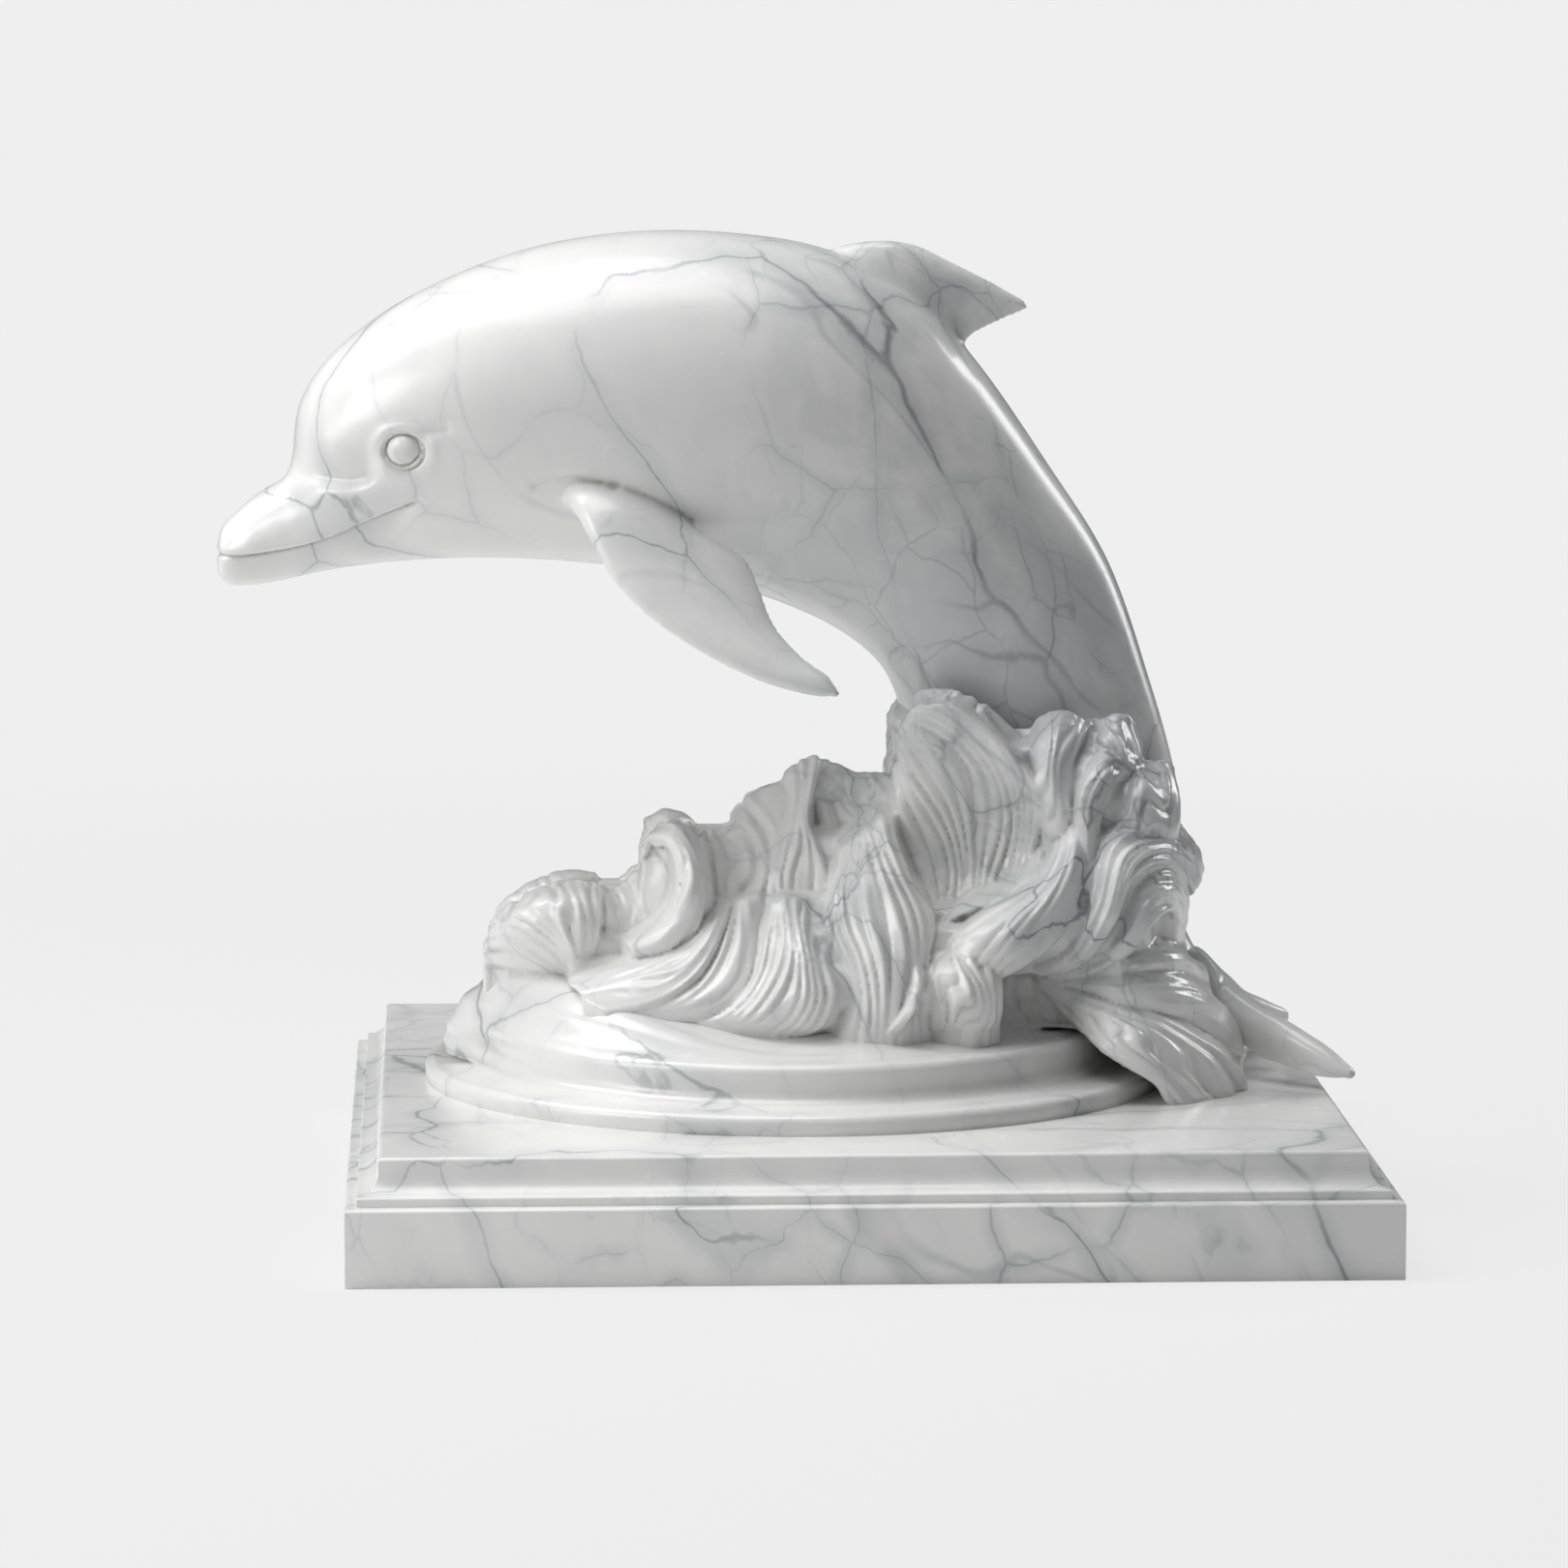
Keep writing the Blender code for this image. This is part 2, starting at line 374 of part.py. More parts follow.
        [(0.0242, -0.028, 0.1034), (0.0264, -0.028, 0.1055), (0.0279, -0.027, 0.1069)],
        [(0.0327, -0.031, 0.0986), (0.0350, -0.030, 0.0999), (0.0369, -0.028, 0.1011)],
        [(0.0413, -0.033, 0.0915), (0.0436, -0.031, 0.0916), (0.0452, -0.028, 0.0916)],
    ]),
    # Rounded lobe beside the fan
    Lock(5, 0.15, 0.0012, [
        [(0.0502, -0.036, 0.0678), (0.0486, -0.038, 0.0768), (0.0461, -0.037, 0.0854),
         (0.0449, -0.033, 0.0915), (0.0471, -0.028, 0.0963)],
        [(0.0524, -0.040, 0.0698), (0.0504, -0.042, 0.0788), (0.0493, -0.042, 0.0875),
         (0.0500, -0.038, 0.0950), (0.0517, -0.030, 0.0995)],
        [(0.0552, -0.041, 0.0714), (0.0532, -0.043, 0.0803), (0.0528, -0.043, 0.0883),
         (0.0546, -0.038, 0.0957), (0.0567, -0.030, 0.1004)],
        [(0.0584, -0.038, 0.0724), (0.0567, -0.040, 0.0814), (0.0574, -0.040, 0.0894),
         (0.0607, -0.035, 0.0949), (0.0635, -0.028, 0.0970)],
    ]),
    # Second lobe
    Lock(3, 0.15, 0.0009, [
        [(0.0602, -0.033, 0.0819), (0.0616, -0.033, 0.0892), (0.0642, -0.028, 0.0955)],
        [(0.0650, -0.036, 0.0830), (0.0664, -0.036, 0.0925), (0.0682, -0.028, 0.0988)],
        [(0.0702, -0.035, 0.0836), (0.0713, -0.034, 0.0922), (0.0720, -0.026, 0.0992)],
        [(0.0750, -0.030, 0.0829), (0.0762, -0.028, 0.0885), (0.0780, -0.020, 0.0915)],
    ]),
    # Upper curl that breaks to the right
    Lock(5, 0.1, 0.0013, [
        [(0.0572, -0.036, 0.0488), (0.0587, -0.039, 0.0594), (0.0585, -0.041, 0.0728),
         (0.0591, -0.041, 0.0837), (0.0622, -0.039, 0.0896), (0.0679, -0.035, 0.0920),
         (0.0743, -0.029, 0.0901), (0.0792, -0.020, 0.0852)],
        [(0.0587, -0.040, 0.0493), (0.0601, -0.044, 0.0601), (0.0600, -0.046, 0.0720),
         (0.0609, -0.046, 0.0821), (0.0644, -0.043, 0.0883), (0.0695, -0.038, 0.0898),
         (0.0744, -0.032, 0.0881), (0.0785, -0.023, 0.0841)],
        [(0.0609, -0.040, 0.0501), (0.0621, -0.044, 0.0601), (0.0620, -0.046, 0.0713),
         (0.0632, -0.045, 0.0798), (0.0663, -0.042, 0.0852), (0.0702, -0.038, 0.0872),
         (0.0740, -0.032, 0.0857), (0.0776, -0.025, 0.0826)],
        [(0.0630, -0.036, 0.0502), (0.0641, -0.039, 0.0594), (0.0643, -0.041, 0.0698),
         (0.0657, -0.041, 0.0778), (0.0684, -0.038, 0.0825), (0.0713, -0.034, 0.0842),
         (0.0739, -0.030, 0.0835), (0.0761, -0.026, 0.0809)],
    ]),
    # Knob at the edge of the tail
    Lock(2, 0.25, 0.0006, [
        [(0.0692, -0.038, 0.0731), (0.0696, -0.038, 0.0789), (0.0713, -0.034, 0.0820),
         (0.0744, -0.028, 0.0833)],
        [(0.0734, -0.040, 0.0711), (0.0737, -0.040, 0.0777), (0.0759, -0.036, 0.0829),
         (0.0789, -0.027, 0.0858)],
        [(0.0787, -0.038, 0.0694), (0.0794, -0.037, 0.0765), (0.0813, -0.032, 0.0824),
         (0.0826, -0.022, 0.0864)],
        [(0.0869, -0.028, 0.0680), (0.0877, -0.027, 0.0737), (0.0869, -0.024, 0.0799),
         (0.0859, -0.015, 0.0839)],
    ]),
    # Middle curl that breaks to the right
    Lock(7, 0.1, 0.0015, [
        [(0.0457, -0.036, 0.0329), (0.0531, -0.042, 0.0380), (0.0593, -0.046, 0.0451),
         (0.0624, -0.047, 0.0540), (0.0639, -0.046, 0.0625), (0.0666, -0.043, 0.0701),
         (0.0712, -0.040, 0.0746), (0.0790, -0.034, 0.0737), (0.0872, -0.025, 0.0698),
         (0.0936, -0.013, 0.0615)],
        [(0.0470, -0.038, 0.0328), (0.0550, -0.046, 0.0379), (0.0614, -0.051, 0.0451),
         (0.0645, -0.052, 0.0539), (0.0664, -0.050, 0.0623), (0.0695, -0.047, 0.0684),
         (0.0746, -0.043, 0.0708), (0.0810, -0.036, 0.0691), (0.0879, -0.026, 0.0648),
         (0.0936, -0.013, 0.0570)],
        [(0.0483, -0.039, 0.0325), (0.0571, -0.047, 0.0373), (0.0637, -0.053, 0.0447),
         (0.0668, -0.054, 0.0535), (0.0691, -0.052, 0.0604), (0.0727, -0.048, 0.0653),
         (0.0775, -0.043, 0.0668), (0.0825, -0.036, 0.0643), (0.0878, -0.027, 0.0605),
         (0.0926, -0.014, 0.0535)],
        [(0.0499, -0.038, 0.0320), (0.0594, -0.045, 0.0366), (0.0657, -0.051, 0.0436),
         (0.0688, -0.052, 0.0517), (0.0718, -0.050, 0.0580), (0.0758, -0.046, 0.0617),
         (0.0802, -0.041, 0.0625), (0.0841, -0.035, 0.0602), (0.0874, -0.027, 0.0561),
         (0.0909, -0.015, 0.0500)],
    ]),
    # Lower curl
    Lock(5, 0.12, 0.0011, [
        [(0.0514, -0.037, 0.0314), (0.0618, -0.042, 0.0361), (0.0680, -0.046, 0.0422),
         (0.0706, -0.048, 0.0490), (0.0732, -0.047, 0.0546), (0.0775, -0.043, 0.0588),
         (0.0824, -0.037, 0.0592), (0.0870, -0.028, 0.0555), (0.0900, -0.016, 0.0494)],
        [(0.0528, -0.038, 0.0313), (0.0630, -0.045, 0.0355), (0.0698, -0.050, 0.0413),
         (0.0732, -0.051, 0.0472), (0.0763, -0.049, 0.0520), (0.0799, -0.045, 0.0550),
         (0.0835, -0.038, 0.0544), (0.0866, -0.029, 0.0505), (0.0892, -0.017, 0.0451)],
        [(0.0550, -0.037, 0.0307), (0.0653, -0.044, 0.0346), (0.0728, -0.049, 0.0397),
         (0.0771, -0.049, 0.0447), (0.0798, -0.046, 0.0486), (0.0825, -0.041, 0.0501),
         (0.0849, -0.035, 0.0481), (0.0867, -0.028, 0.0445), (0.0885, -0.017, 0.0395)],
    ]),
    # Low lick
    Lock(3, 0.15, 0.0008, [
        [(0.0508, -0.035, 0.0310), (0.0627, -0.040, 0.0347), (0.0727, -0.042, 0.0393),
         (0.0803, -0.038, 0.0398), (0.0877, -0.029, 0.0377), (0.0944, -0.014, 0.0309)],
        [(0.0522, -0.036, 0.0304), (0.0639, -0.043, 0.0337), (0.0738, -0.046, 0.0370),
         (0.0815, -0.041, 0.0369), (0.0883, -0.031, 0.0346), (0.0955, -0.014, 0.0283)],
        [(0.0545, -0.035, 0.0295), (0.0662, -0.042, 0.0319), (0.0754, -0.044, 0.0338),
         (0.0832, -0.039, 0.0333), (0.0892, -0.029, 0.0310), (0.0968, -0.013, 0.0248)],
    ]),
    # Smooth lobe above the skirt
    Lock(3, 0.15, 0.0006, [
        [(0.0488, -0.033, 0.0304), (0.0613, -0.040, 0.0322), (0.0718, -0.044, 0.0338),
         (0.0831, -0.040, 0.0331), (0.0931, -0.027, 0.0277), (0.1013, -0.012, 0.0183)],
        [(0.0502, -0.034, 0.0295), (0.0618, -0.043, 0.0301), (0.0721, -0.049, 0.0287),
         (0.0833, -0.045, 0.0266), (0.0942, -0.031, 0.0214), (0.1036, -0.016, 0.0115)],
        [(0.0517, -0.033, 0.0282), (0.0626, -0.042, 0.0274), (0.0722, -0.048, 0.0242),
         (0.0835, -0.044, 0.0213), (0.0956, -0.032, 0.0156), (0.1057, -0.020, 0.0055)],
    ]),
    # Skirt that runs off the disc
    Lock(8, 0.05, 0.0014, [
        [(0.0488, -0.033, 0.0290), (0.0599, -0.040, 0.0282), (0.0717, -0.046, 0.0254),
         (0.0833, -0.046, 0.0216), (0.0943, -0.038, 0.0144), (0.1023, -0.032, 0.0075),
         (0.1053, -0.030, -0.0003)],
        [(0.0502, -0.034, 0.0277), (0.0596, -0.043, 0.0261), (0.0698, -0.051, 0.0225),
         (0.0797, -0.053, 0.0184), (0.0890, -0.047, 0.0115), (0.0961, -0.042, 0.0048),
         (0.1000, -0.040, -0.0015)],
        [(0.0517, -0.034, 0.0262), (0.0589, -0.043, 0.0242), (0.0675, -0.053, 0.0199),
         (0.0750, -0.057, 0.0155), (0.0826, -0.054, 0.0091), (0.0888, -0.050, 0.0033),
         (0.0927, -0.048, -0.0022)],
        [(0.0524, -0.034, 0.0251), (0.0583, -0.042, 0.0215), (0.0640, -0.052, 0.0169),
         (0.0693, -0.057, 0.0126), (0.0772, -0.058, 0.0083), (0.0831, -0.056, 0.0036),
         (0.0870, -0.054, -0.0012)],
        [(0.0526, -0.032, 0.0240), (0.0580, -0.040, 0.0190), (0.0621, -0.049, 0.0153),
         (0.0649, -0.053, 0.0131), (0.0708, -0.056, 0.0099), (0.0765, -0.056, 0.0069),
         (0.0818, -0.054, -0.0002)],
    ]),
    # Deep pocket beside the skirt
    Lock(4, 0.0, 0.0005, [
        [(0.0382, -0.040, 0.0181), (0.0393, -0.034, 0.0237), (0.0402, -0.032, 0.0300)],
        [(0.0457, -0.036, 0.0174), (0.0471, -0.027, 0.0225), (0.0463, -0.028, 0.0301)],
        [(0.0530, -0.036, 0.0173), (0.0544, -0.028, 0.0204), (0.0529, -0.028, 0.0271)],
        [(0.0592, -0.040, 0.0179), (0.0590, -0.034, 0.0199), (0.0561, -0.033, 0.0249)],
    ]),
    # Strands behind the long sheet
    Lock(4, 0.0, 0.0009, [
        [(0.0399, -0.036, 0.0317), (0.0511, -0.040, 0.0384), (0.0575, -0.041, 0.0473),
         (0.0605, -0.040, 0.0566), (0.0613, -0.038, 0.0673)],
        [(0.0434, -0.037, 0.0322), (0.0539, -0.041, 0.0386), (0.0596, -0.042, 0.0474),
         (0.0620, -0.041, 0.0568), (0.0627, -0.039, 0.0674)],
        [(0.0462, -0.038, 0.0327), (0.0564, -0.042, 0.0391), (0.0613, -0.043, 0.0476),
         (0.0635, -0.042, 0.0569), (0.0640, -0.040, 0.0675)],
    ]),
]


def smooth(values, count):
    # Catmull-Rom curve through the first axis of the values, read at count even steps
    values = np.asarray(values, float)
    last = len(values) - 1
    place = np.linspace(0, last, count)
    index = np.minimum(place.astype(int), last - 1)
    t = (place - index).reshape((-1,) + (1,) * (values.ndim - 1))
    ends = np.concatenate([[values[0] * 2 - values[1]], values, [values[-1] * 2 - values[-2]]])
    p0, p1, p2, p3 = (ends[index + k] for k in range(4))
    bend = (p0 * 2 - p1 * 5 + p2 * 4 - p3) * 0.5 * t ** 2 + (p1 * 3 - p0 - p2 * 3 + p3) * 0.5 * t ** 3
    return p1 + (p2 - p0) * 0.5 * t + bend


def even_line(points, count):
    # The smooth curve through the points, read at even lengths
    fine = smooth(points, LOCK_RINGS)
    run = np.concatenate([[0.0], np.cumsum(np.linalg.norm(np.diff(fine, axis=0), axis=1))])
    wanted = np.linspace(0.0, run[-1], count)
    return np.stack([np.interp(wanted, run, fine[:, axis]) for axis in range(3)], axis=1)


def unit(vectors):
    return vectors / np.maximum(np.linalg.norm(vectors, axis=-1, keepdims=True), 1e-9)


def fade(value, low, high):
    # Smooth step from 0 at low to 1 at high
    t = np.clip((value - low) / (high - low), 0.0, 1.0)
    return t * t * (3 - 2 * t)


def new_object(name, bm, collection):
    mesh = bpy.data.meshes.new(name)
    bm.to_mesh(mesh)
    bm.free()
    made = bpy.data.objects.new(name, mesh)
    collection.objects.link(made)
    return made


def add_loft(bm, rings):
    # Skins unlike closed sections in order and closes both ends
    loops = [[bm.verts.new(point) for point in ring] for ring in rings]
    sides = len(loops[0])
    skin = []
    for lower, upper in zip(loops, loops[1:]):
        for i in range(sides):
            j = (i + 1) % sides
            skin.append(bm.faces.new((lower[i], lower[j], upper[j], upper[i])))
    for loop in (loops[0], loops[-1]):
        centre = bm.verts.new(sum((v.co for v in loop), Vector()) / sides)
        for i in range(sides):
            skin.append(bm.faces.new((loop[i], loop[(i + 1) % sides], centre)))
    bmesh.ops.recalc_face_normals(bm, faces=skin)


def turned(name, profile, steps, collection):
    # Spins a profile of (radius, height) corners, from the axis and back to it, about +Z
    bm = bmesh.new()
    corners = [bm.verts.new((radius, 0.0, height)) for radius, height in profile]
    edges = [bm.edges.new(pair) for pair in zip(corners, corners[1:])]
    bmesh.ops.spin(bm, geom=corners + edges, cent=(0, 0, 0), axis=(0, 0, 1), angle=math.tau,
                   steps=steps, use_merge=True, use_duplicate=False)
    bmesh.ops.remove_doubles(bm, verts=bm.verts, dist=1e-6)
    bmesh.ops.recalc_face_normals(bm, faces=bm.faces)
    return new_object(name, bm, collection)


def build_plinth(collection):
    # Turned in four steps, a profile gives a square with mitred mouldings
    half = PLINTH_SIDE / 2
    profile = [(0.0, 0.0), (half, 0.0), (half, SLAB_HEIGHT - SLAB_ARRIS), (half - SLAB_ARRIS, SLAB_HEIGHT)]
    edge, height = half - SLAB_ARRIS - MOULDING_INSET, SLAB_HEIGHT
    profile += [(edge, height), (edge, height + MOULDING_FOOT)]
    height += MOULDING_FOOT
    for degrees in range(0, 91, 18):
        turn = math.radians(degrees)
        profile.append((edge - COVE_INSET * math.sin(turn), height + COVE_HEIGHT * (1 - math.cos(turn))))
    edge, height = profile[-1]
    profile += [(edge, height + TABLE_STEP), (edge - TABLE_ARRIS, TABLE_TOP), (0.0, TABLE_TOP)]
    figure = turned("dolphin_figurine", [(radius * math.sqrt(2), z) for radius, z in profile], 4, collection)
    figure.data.transform(Matrix.Rotation(math.radians(45), 4, "Z"))
    return figure


def heap_water(disc):
    # Raises the upper step towards the left, where the water spills a little over its rim
    for v in disc.data.vertices:
        share = (v.co.z - DISC_STEP) / UPPER_STEP
        radius = math.hypot(v.co.x, v.co.y)
        if share <= 0.05 or radius < 1e-6:
            continue
        degrees = math.degrees(math.atan2(v.co.y, -v.co.x))
        side = float(1 - fade(abs(degrees + 5), 28, 82))
        rim_side = float(1 - fade(abs(degrees - 12), 15, 55))
        spill_side = float(1 - fade(abs(degrees - 28), 8, 34))
        inner = float(1 - fade(radius, UPPER_RADIUS * 0.86, UPPER_RADIUS))
        rise = side * inner * (HEAP_RISE - HEAP_RIM) + rim_side * HEAP_RIM
        v.co.z += min(share, 1.0) * rise
        reach = 1 + spill_side * HEAP_SPILL / UPPER_RADIUS * float(fade(radius, SWELL_RADIUS, UPPER_RADIUS))
        v.co.x *= reach
        v.co.y *= reach


def build_disc(collection):
    # One turned profile: two rounded steps, then the swell of the water
    def rim(radius, top):
        return [(radius - RIM_ROUND * (1 - math.sin(turn)), top - RIM_ROUND * (1 - math.cos(turn)))
                for turn in (math.radians(degrees) for degrees in (0, 45, 90))]
    profile = [(0.0, UPPER_TOP + SWELL_RISE), (SWELL_RADIUS, UPPER_TOP + SWELL_RISE)]
    for share in (0.3, 0.55, 0.75, 0.9):
        radius = SWELL_RADIUS + (UPPER_RADIUS - SWELL_RADIUS) * share
        profile.append((radius, UPPER_TOP + SWELL_RISE * float(1 - fade(share, 0.0, 0.95))))
    profile += rim(UPPER_RADIUS, UPPER_TOP)
    profile += [(UPPER_RADIUS, DISC_STEP + RIM_ROUND * 2), (UPPER_RADIUS + RIM_ROUND * 1.5, DISC_STEP + 0.0003)]
    profile += rim(DISC_RADIUS, DISC_STEP)
    profile += [(DISC_RADIUS, -DISC_SINK), (0.0, -DISC_SINK)]
    disc = turned("disc", profile, DISC_STEPS, collection)
    heap_water(disc)
    disc.data.transform(Matrix.Translation((DISC_X, 0, TABLE_TOP)))
    return disc


def add_body(bm):
    stations = smooth(BODY, BODY_RINGS)
    turn = np.linspace(0, math.tau, BODY_SIDES, endpoint=False)[None, :]
    back_x, back_z, belly_x, belly_z, half_width = (stations[:, k:k + 1] for k in range(5))
    x = (back_x + belly_x) / 2 + (back_x - belly_x) / 2 * np.cos(turn)
    z = (back_z + belly_z) / 2 + (back_z - belly_z) / 2 * np.cos(turn)
    add_loft(bm, np.stack([x, half_width * np.sin(turn), z], axis=-1))


def add_fin(bm, sections, drop=0.0, mirror=False):
    # Lens-shaped sections, thickest towards the leading edge; drop lowers the tip
    leading = smooth([s.leading for s in sections], FIN_RINGS)
    trailing = smooth([s.trailing for s in sections], FIN_RINGS)
    half = smooth([s.thickness / 2 for s in sections], FIN_RINGS)[:, None]
    middle, reach = (leading + trailing) / 2, (leading - trailing) / 2
    along = np.gradient(middle, axis=0)
    across = unit(np.cross(reach, along))
    turn = np.linspace(0, math.tau, FIN_SIDES, endpoint=False)
    lens = (0.8 + 0.2 * np.cos(turn)) * np.sin(turn)
    rings = (middle[:, None] + reach[:, None] * np.cos(turn)[None, :, None]
             + across[:, None] * (half * lens)[..., None])
    tip = rings[-1].mean(axis=0)
    closing = tip + (rings[-1] - tip) * 0.6 + unit(along[-1]) * half[-1]
    rings = np.concatenate([rings, closing[None]])
    if mirror:
        fall = drop * np.linspace(0, 1, len(rings)) ** 1.5
        rings = rings * np.array([1, -1, 1]) - np.array([0, 0, 1]) * fall[:, None, None]
    add_loft(bm, rings)


def lock_face(lock):
    # The fluted face between a lock's lines of flow: rings from foot to crest, columns across
    columns = max(60, lock.flutes * FLUTE_COLUMNS)
    lines = np.array([even_line(line, 7) for line in lock.flow])
    middle = smooth(smooth(lines, columns).transpose(1, 0, 2), LOCK_RINGS)
    out = np.cross(unit(np.gradient(middle, axis=1)), unit(np.gradient(middle, axis=0)))
    out = out * np.sign(1e-9 - out[..., 1:2])
    v = np.linspace(0, 1, LOCK_RINGS)[:, None]
    u = np.linspace(0, 1, columns)[None, :]
    hump = np.sqrt(np.clip(1 - (2 * u - 1) ** 2, 0, 1))
    half_width = np.linalg.norm(middle[:, -1] - middle[:, 0], axis=-1)[:, None] / 2
    sway = np.sin(math.pi * u) / lock.flutes * np.sin(math.tau * (0.55 * v + 0.37 * lock.flutes))
    ridge = np.abs(np.sin(math.pi * lock.flutes * np.clip(u + sway, 0, 1))) ** 0.7
    flutes = lock.flute_depth * (ridge - 0.6) * (0.25 + 0.75 * fade(v, 0, 0.1))
    lip = LIP_HEIGHT * np.exp(-(((v - 0.965) / 0.045) ** 2))
    return middle + out * (lock.swell * half_width * hump + flutes + lip)[..., None]


def neighbours(field, outside):
    # The field of cells, shifted one cell to each side and then to each corner
    padded = np.pad(field, 1, constant_values=outside)
    rows, columns = field.shape
    return [padded[1 + down:1 + down + rows, 1 + over:1 + over + columns]
            for down, over in ((-1, 0), (1, 0), (0, -1), (0, 1), (-1, -1), (-1, 1), (1, -1), (1, 1))]


def spread(field, times, outside):
    for _ in range(times):
        field = np.maximum.reduce([field] + neighbours(field, outside))
    return field


def shrink(field, times, outside):
    return -spread(-field, times, -outside)


def blur(field, weight, times):
    for _ in range(times):
        total = 4 * field * weight + sum(neighbours(field * weight, 0.0)[:4])
        share = 4 * weight + sum(neighbours(weight, 0.0)[:4])
        field = np.where(share > 1e-6, total / np.maximum(share, 1e-6), field)
    return field


def rounding(mask, reach):
    # 0 at the mask's edge, rising like a quarter circle to 1 at the reach inside it
    depth = np.zeros(mask.shape)
    steps = round(reach / CELL)
    for _ in range(steps):
        mask = shrink(mask.astype(float), 1, 0.0) > 0.5
        depth += mask
    return np.sqrt(np.clip(1 - (1 - depth / steps) ** 2, 0, 1))


def lay_face(low, shape):
    # The foremost surface of all the locks in each cell, its gaps closed with sunk grooves
    face = np.full(shape, -1.0)
    for lock in LOCKS:
        points = lock_face(lock).reshape(-1, 3)
        column = np.round((points[:, 0] - low[0]) / CELL).astype(int)
        row = np.round((points[:, 2] - low[1]) / CELL).astype(int)
        inside = (column >= 0) & (column < shape[1]) & (row >= 0) & (row < shape[0])
        np.maximum.at(face, (row[inside], column[inside]), -points[inside, 1])
    known = face > -0.9
    closing = round(GAP_CLOSED / CELL)
    mask = shrink(spread(known.astype(float), closing, 0.0), closing, 1.0) > 0.5
    filled = np.where(known, face, 0.0)
    weight = known.astype(float)
    for _ in range(4 * closing):
        near = blur(filled, weight, 1)
        weight = np.where(known, 1.0, np.minimum(sum(neighbours(weight, 0.0)), 1.0))
        filled = np.where(known, face, near)
    return np.where(mask, np.where(known, face, filled - GROOVE_SINK), 0.0), mask


def sink_feet(face, mask, low):
    # Carries the feet of the locks down into the disc; gives the cells that no outer edge passes too
    flooded = mask.copy()
    deep = round(FOOT_DEPTH / CELL)
    for column in range(mask.shape[1]):
        found = np.flatnonzero(mask[:, column])
        if len(found) and low[0] + CELL * column < DISC_END:
            foot = found[0]
            start = max(foot - deep, 0)
            face[start:foot, column] = face[foot, column]
            mask[start:foot, column] = True
            flooded[:foot, column] = True
    return face, mask, flooded | mask


def lay_relief():
    # Mask of the cells, then the front and back of the outer shell and the front of the core
    low, high = np.array(RELIEF_LOW), np.array(RELIEF_HIGH)
    shape = tuple(np.round((high - low) / CELL).astype(int)[::-1] + 1)
    face, mask = lay_face(low, shape)
    face, mask, flooded = sink_feet(face, mask, low)
    weight = mask.astype(float)
    face = blur(face, weight, 1)

    reach = round(EDGE_ROUND / CELL)
    shell = shrink(np.where(mask, face, 1.0), reach, 1.0)
    shell = blur(np.where(mask, shell, 0.0), weight, 3 * reach) - SHELL_THICKNESS
    shell = np.minimum(shell, face - SHELL_LEAST)
    edge_turn = rounding(flooded, EDGE_ROUND)
    front = face - EDGE_SETBACK * (1 - edge_turn)
    back = front - (front - shell) * edge_turn
    core = np.clip(blur(shell, weight, 2 * reach) + CORE_COVER, CORE_LEAST, 1.0)
    core = core * rounding(flooded, CORE_ROUND)
    edge = mask & ~(shrink(weight, 1, 0.0) > 0.5)
    return mask, front, np.where(edge, front, back), np.where(edge, 0.0, core)


def add_layers(bm, mask, front, back, scale):
    # A closed form between two reliefs on the same cells
    rows, columns = mask.shape
    for depth in (front, back):
        grid = bmesh.ops.create_grid(bm, x_segments=columns - 1, y_segments=rows - 1, size=1.0)["verts"]
        spare = []
        for v in grid:
            column = round((v.co.x + 1) / 2 * (columns - 1))
            row = round((v.co.y + 1) / 2 * (rows - 1))
            if mask[row, column]:
                place = (RELIEF_LOW[0] + CELL * column, -depth[row, column], RELIEF_LOW[1] + CELL * row)
                v.co = [a * b for a, b in zip(place, scale)]
            else:
                spare.append(v)
        bmesh.ops.delete(bm, geom=spare, context="VERTS")


def add_wave(bm):
    wave = bmesh.new()
    mask, front, back, core = lay_relief()
    for scale in ((1.0, 1.0, 1.0), BACK_SCALE):
        add_layers(wave, mask, front, back, scale)
        add_layers(wave, mask, core, -np.minimum(core, CORE_LEAST), scale)
        bmesh.ops.remove_doubles(wave, verts=wave.verts, dist=1e-6)
    loose = [v for v in wave.verts if not v.link_faces]
    bmesh.ops.delete(wave, geom=loose, context="VERTS")
    bmesh.ops.recalc_face_normals(wave, faces=wave.faces)
    mesh = bpy.data.meshes.new("wave")
    wave.to_mesh(mesh)
    wave.free()
    bm.from_mesh(mesh)


def carve_lines(mesh):
    # Cuts the mouth and the hollow under the brow into the head, and raises a lid round each eye
    places = np.array([v.co for v in mesh.vertices])
    normals = np.array([v.normal for v in mesh.vertices])
    head = (np.abs(places[:, 1]) > EYE_RADIUS / 2) | (places[:, 0] < MOUTH[1][0])
    head &= places[:, 0] < BODY[8].belly_x
    side = places[head][:, [0, 2]]

    def cut(line, depth, width):
        points = smooth(line, BODY_RINGS)
        gap = np.linalg.norm(side[:, None] - points[None], axis=-1).min(axis=1)
        return depth * np.exp(-(gap / width) ** 2)
    ring = np.linalg.norm(side - EYE, axis=-1) - LID_RADIUS
    rise = LID_HEIGHT * np.exp(-(ring / LID_HEIGHT) ** 2)
    rise -= cut(MOUTH, MOUTH_DEPTH, MOUTH_WIDTH) + cut(BROW, BROW_DEPTH, BROW_WIDTH)
    places[head] += normals[head] * rise[:, None]
    mesh.vertices.foreach_set("co", places.ravel())


